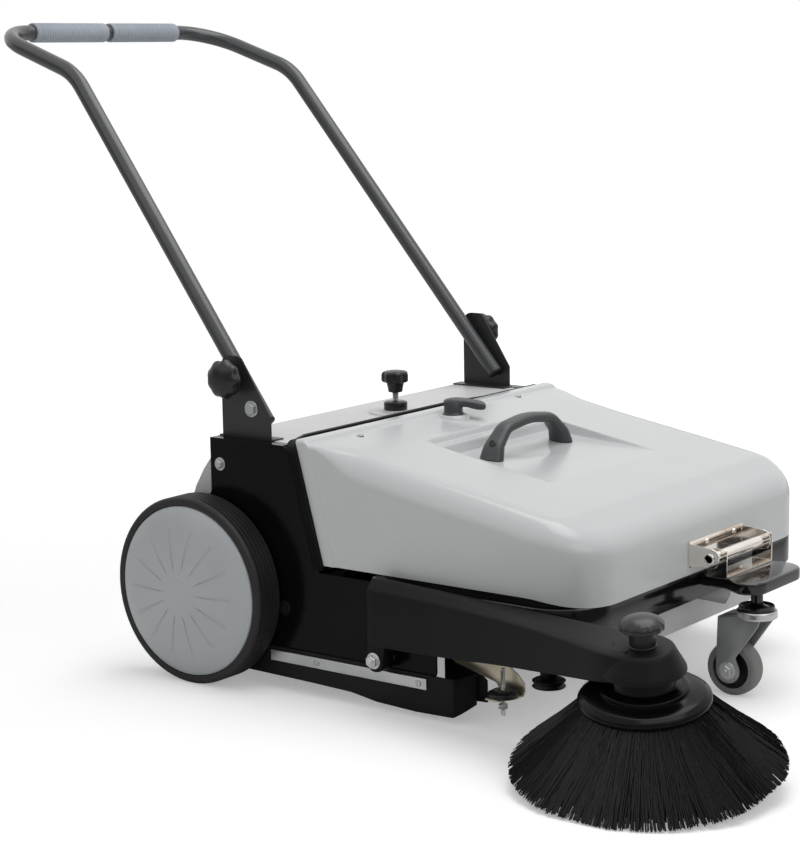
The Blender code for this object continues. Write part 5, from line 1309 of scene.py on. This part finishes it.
roof_line += [
    (FORK_CHEEKS[3], -0.5500), (FORK_CHEEKS[3], -0.5178), (FORK_CHEEKS[0], -0.5178),
    (FORK_CHEEKS[0], -0.5500)
]
roof_drop = 0.0066
roof = lofted(
    [[(x, y, z - roof_drop * between(y, -0.560, -0.5178)) for x, y in roof_line] for z in (0.1230, 0.1256)]
)
rounded_off(0.0007, 2, 40.0)
joined(*cheeks, roof)
finished("caster_fork_pressed", "caster_fork", pressed_grey, ("caster_fork_head",), 35.0)
tyre_profile = [
    (0.0288, -0.0145), (0.0340, -0.0148), (0.0372, -0.0138), (0.0388, -0.0118), (0.0397, -0.0085),
    (0.0400, -0.0040)
]
turned(both_halves(tyre_profile), CASTER_AXLE, (1, 0, 0), 72)
finished("caster_tyre_round", "caster_wheel", grey_rubber, ("caster_tyre",), 40.0)
rim_profile = [
    (0.0047, -0.0190), (0.0094, -0.0190), (0.0104, -0.0182), (0.0106, -0.0124), (0.0140, -0.0112),
    (0.0225, -0.0112), (0.0240, -0.0128), (0.0270, -0.0132), (0.0286, -0.0120)
]
turned(both_halves(rim_profile), CASTER_AXLE, (1, 0, 0), 56)
finished("caster_rim_dished", "caster_wheel", moulded_black, ("caster_rim",), 35.0)
shank = turned(
    [(0.0036, -0.0335), (0.0040, -0.0330), (0.0040, 0.0330), (0.0036, 0.0335)], CASTER_AXLE, (1, 0, 0), 24
)
ends = []
for side in (-1, 1):
    ends.append(
        turned([(0.0130, 0.0238), (0.0130, 0.0247), (0.0124, 0.0252)], CASTER_AXLE, (side, 0, 0), 32)
    )
    ends.append(
        turned([(0.0090, 0.0252), (0.0090, 0.0298), (0.0080, 0.0306)], CASTER_AXLE, (side, 0, 0), 6)
    )
joined(shank, *ends)
finished("caster_axle_bolt", "caster_fork", zinc, ("caster_bolt",), 30.0)

# Side brush stop: a bent steel plate with a yellow passivation, behind the arm. A zinc-plated screw stands
# in its tab, with a black pad above the tab and a nut below it.
yellow_zinc = wear(
    "yellow_zinc", (0.66, 0.60, 0.47), (0.58, 0.50, 0.36), 90.0, 0.00003, 0.36, 0.14, Metallic=0.85
)
STOP = (-0.308, -0.352, 0.0)
side_line = [
    (-0.2300, 0.1027), (-0.2300, 0.0900), (-0.2560, 0.0749), (-0.3250, 0.0572), (-0.3345, 0.0435),
    (-0.3700, 0.0435), (-0.3735, 0.0520), (-0.3728, 0.0618), (-0.3620, 0.0740), (-0.3474, 0.0839),
    (-0.3400, 0.1027)
]
upright = slab("X", side_line, -0.2860, -0.2836)
rounded_off(0.0004, 2, 60.0)
tab = [(-0.2840, -0.3695), (-0.2840, -0.3345), (-0.3270, -0.3345), (-0.3270, -0.3560), (-0.3020, -0.3695)]
flange = slab("Z", tab, 0.0435, 0.0459)
rounded_off(0.0004, 2, 60.0)
root_plan = [(-0.3268, -0.2324), (-0.3268, -0.2300), (-0.2836, -0.2300), (-0.2836, -0.2324)]
root = slab("Z", root_plan, 0.0900, 0.1027)
joined(upright, flange, root)
finished("stop_plate_bent", "chassis", yellow_zinc, ("stop_bracket",), 30.0)
thread = [(0.0026, 0.0200), (0.0031, 0.0206)]
for rank in range(40):
    thread += [(0.0032, 0.0212 + rank * 0.0016), (0.0028, 0.0220 + rank * 0.0016)]
turned(thread + [(0.0030, 0.0866), (0.0026, 0.0870)], STOP, count=20)
finished("stop_thread", "chassis", zinc, ("stop_screw",), 30.0)
pad_profile = [
    (0.0036, 0.0461), (0.0190, 0.0461), (0.0210, 0.0467), (0.0218, 0.0480), (0.0218, 0.0510),
    (0.0208, 0.0528), (0.0175, 0.0546), (0.0150, 0.0556), (0.0142, 0.0564), (0.0036, 0.0566),
    (0.0036, 0.0461)
]
turned(pad_profile, STOP, count=48)
finished("stop_foot_pad", "chassis", knob_black, ("stop_pad",), 30.0)
turned([(0.0066, 0.0300), (0.0070, 0.0306), (0.0070, 0.0352), (0.0066, 0.0358)], STOP, count=6)
finished("stop_nut", "chassis", zinc, (), 30.0)

# Side arm: a long moulded arm of grained black plastic, with a chamfer along its outer top edge, that turns
# on a bolt in the side panel. Its front end is an upright nose that flares to a wide foot over the side
# brush.
SIDE_BRUSH = Vector((-0.413, -0.641, 0.122))
SIDE_AXIS = Vector((-0.160, -0.050, 1.0)).normalized()
ARM_PIVOT = (-0.170, 0.082)
ARM_PULLEY = (-0.372, -0.470, 0.0)
ARM_STATIONS = [
    (-0.1580, -0.3640, -0.3385, 0.1020, 0.1830, 0.1975),
    (-0.2300, -0.3680, -0.3385, 0.1040, 0.1825, 0.1945),
    (-0.3200, -0.3780, -0.3385, 0.1100, 0.1820, 0.1905),
    (-0.4000, -0.3920, -0.3385, 0.1180, 0.1815, 0.1870),
    (-0.4800, -0.4120, -0.3440, 0.1260, 0.1815, 0.1855),
    (-0.5500, -0.4380, -0.3560, 0.1360, 0.1815, 0.1865),
    (-0.6000, -0.4600, -0.3700, 0.1440, 0.1825, 0.1880),
    (-0.6400, -0.4640, -0.3820, 0.1480, 0.1815, 0.1880),
]
grained_black = wear(
    "grained_plastic", (0.005, 0.005, 0.0055), (0.008, 0.008, 0.0085), 1500.0, 0.00012, 0.50, 0.12,
    Specular_IOR_Level=0.16
)


def eased_station(stations, row):
    """The arm's sizes at a place along it, on a smooth line through its stations."""
    for rank in range(len(stations) - 1):
        if row >= stations[rank + 1][0] or rank == len(stations) - 2:
            break
    first, second = stations[rank], stations[rank + 1]
    before = stations[max(rank - 1, 0)]
    after = stations[min(rank + 2, len(stations) - 1)]
    share = (row - first[0]) / (second[0] - first[0])
    sizes = []
    for a, b, c, d in zip(before[1:], first[1:], second[1:], after[1:]):
        square = (2 * a - 5 * b + 4 * c - d) * share ** 2
        cube = (3 * b - a - 3 * c + d) * share ** 3
        sizes.append(0.5 * (2 * b + (c - a) * share + square + cube))
    return sizes


arm_rings = []
for step in range(37):
    row = -0.158 - 0.482 * step / 36
    outer, inner, bottom, edge, top = eased_station(ARM_STATIONS, row)
    arm_rings.append(
        [
            (outer, row, bottom), (outer, row, edge), (outer + 0.0130, row, top), (inner, row, top),
            (inner, row, bottom)
        ]
    )
beam = lofted(arm_rings)
rounded_off(0.0030, 3, 25.0)
nose_profile = [
    (0.0480, 0.0360), (0.0530, 0.0362), (0.0546, 0.0374), (0.0545, 0.0395), (0.0526, 0.0435),
    (0.0500, 0.0485), (0.0470, 0.0540), (0.0442, 0.0592), (0.0421, 0.0636), (0.0404, 0.0668),
    (0.0380, 0.0686), (0.0345, 0.0694), (0.0180, 0.0697)
]
nose = turned(nose_profile, SIDE_BRUSH, SIDE_AXIS, 72)
lug_line = [
    (-0.1590, 0.1100), (-0.1590, 0.0760), (-0.1610, 0.0700), (-0.1660, 0.0662), (-0.1720, 0.0655),
    (-0.1780, 0.0664), (-0.1840, 0.0710), (-0.1900, 0.1100)
]
lug = slab("X", lug_line, -0.3640, -0.3386)
rounded_off(0.0012, 2, 50.0)
post = turned([(0.0105, 0.1066), (0.0110, 0.1074), (0.0150, 0.1500)], ARM_PULLEY, count=40)
joined(beam, nose, lug, post)
finished("side_arm_moulding", "side_arm", grained_black, ("side_arm_body",), 35.0)

pivot = (0.0, *ARM_PIVOT)
shank = turned(
    [(0.0120, 0.3313), (0.0120, 0.3382), (0.0060, 0.3383), (0.0060, 0.3740)], pivot, (-1, 0, 0), 32
)
washer = turned([(0.0118, 0.3642), (0.0118, 0.3656), (0.0112, 0.3661)], pivot, (-1, 0, 0), 32)
head = turned([(0.0092, 0.3661), (0.0092, 0.3718), (0.0080, 0.3728)], pivot, (-1, 0, 0), 6)
tip = turned([(0.0042, 0.3720), (0.0042, 0.3748), (0.0036, 0.3754)], pivot, (-1, 0, 0), 24)
joined(shank, washer, head, tip)
finished("arm_pivot_hex", "chassis", zinc, ("arm_pivot_bolt",), 30.0)

pulley_profile = [
    (0.0040, 0.0960), (0.0215, 0.0960), (0.0225, 0.0968), (0.0225, 0.0976), (0.0198, 0.1000),
    (0.0194, 0.1010), (0.0198, 0.1020), (0.0225, 0.1044), (0.0225, 0.1052), (0.0215, 0.1060),
    (0.0040, 0.1060)
]
turned(pulley_profile, ARM_PULLEY, count=56)
finished("arm_pulley_wheel", "arm_pulley", moulded_black, ("belt_pulley",), 30.0)

# Side brush knob: a black head with a scalloped rim on a tapering hub, in line with the brush. It sets how
# low the brush runs.
mushroom = [
    (0.0922, 0.60), (0.0926, 0.93), (0.0932, 0.98), (0.0945, 1.0), (0.0985, 1.0), (0.1005, 0.97),
    (0.1025, 0.91), (0.1045, 0.82), (0.1064, 0.69), (0.1080, 0.53), (0.1090, 0.34), (0.1096, 0.10)
]
head = lobed(SIDE_BRUSH, SIDE_AXIS, 0.0284, 0.0006, 14, mushroom)
hub = turned(
    [
        (0.0178, 0.0693), (0.0178, 0.0708), (0.0170, 0.0716), (0.0168, 0.0760), (0.0170, 0.0870),
        (0.0182, 0.0926)
    ],
    SIDE_BRUSH, SIDE_AXIS, 48
)
joined(head, hub)
finished("side_knob_head", "side_knob", knob_black, ("side_brush_knob",), 40.0)

# Side brush: a glossy black disc with a stepped collar, and a dense skirt of long black bristles that flare
# out from tufts set in its underside. The bristles are copies of one.
disc_profile = [
    (0.0400, -0.0080), (0.0805, -0.0080), (0.0836, -0.0072), (0.0849, -0.0052), (0.0851, -0.0020),
    (0.0849, 0.0004), (0.0840, 0.0018), (0.0822, 0.0030), (0.0800, 0.0040), (0.0785, 0.0052),
    (0.0755, 0.0062), (0.0670, 0.0075), (0.0590, 0.0088), (0.0566, 0.0096), (0.0562, 0.0142),
    (0.0552, 0.0150), (0.0520, 0.0154), (0.0500, 0.0150), (0.0480, 0.0152), (0.0440, 0.0164),
    (0.0408, 0.0172), (0.0402, 0.0186), (0.0402, 0.0340), (0.0392, 0.0350), (0.0200, 0.0350)
]
turned(disc_profile, SIDE_BRUSH, SIDE_AXIS, 96)
finished("side_disc_stepped", "side_brush", gloss_black, ("side_brush_disc",), 35.0)

draw = random.Random(23)
brush_turn = SIDE_AXIS.to_track_quat("Z", "Y")


def ring_spot(radius, angle, height):
    return SIDE_BRUSH + brush_turn @ Vector((radius * math.cos(angle), radius * math.sin(angle), height))


TIP_CLEAR = 0.0007
skirt_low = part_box("side_brush_bristles")[0] - MACHINE
placings = []
for row in range(5):
    tufts = 44 + 6 * row
    for tuft in range(tufts):
        middle = 2 * math.pi * (tuft + 0.37 * row) / tufts
        lean = draw.gauss(0.0, 0.010)
        out = draw.gauss(0.0, 0.0020)
        for count in range(35):
            share = row / 4
            radius = 0.048 + 0.031 * share
            near = middle + draw.gauss(0.0, 0.0028) / radius
            start = ring_spot(radius + draw.gauss(0.0, 0.0016), near, -0.0075)
            reach = 0.108 + 0.066 * share + out + draw.gauss(0.0, 0.0030)
            reach = min(reach, 0.1775)
            far = middle + lean + draw.gauss(0.0, 0.056)
            end = ring_spot(reach, far, -0.0925 + draw.gauss(0.0, 0.0010) + 0.004 * (1 - share))
            end = Vector([max(value, least + TIP_CLEAR) for value, least in zip(end, skirt_low)])
            bend = ring_spot(radius + (reach - radius) * (0.36 + 0.05 * share), (near + far) / 2, -0.044)
            placings.append((start, bend, end))
bristles(one_bristle(3, 3), placings, 0.00076)
finished("side_brush_skirt", "side_brush", bristle_black, ("side_brush_bristles",), 60.0)

low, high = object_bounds()
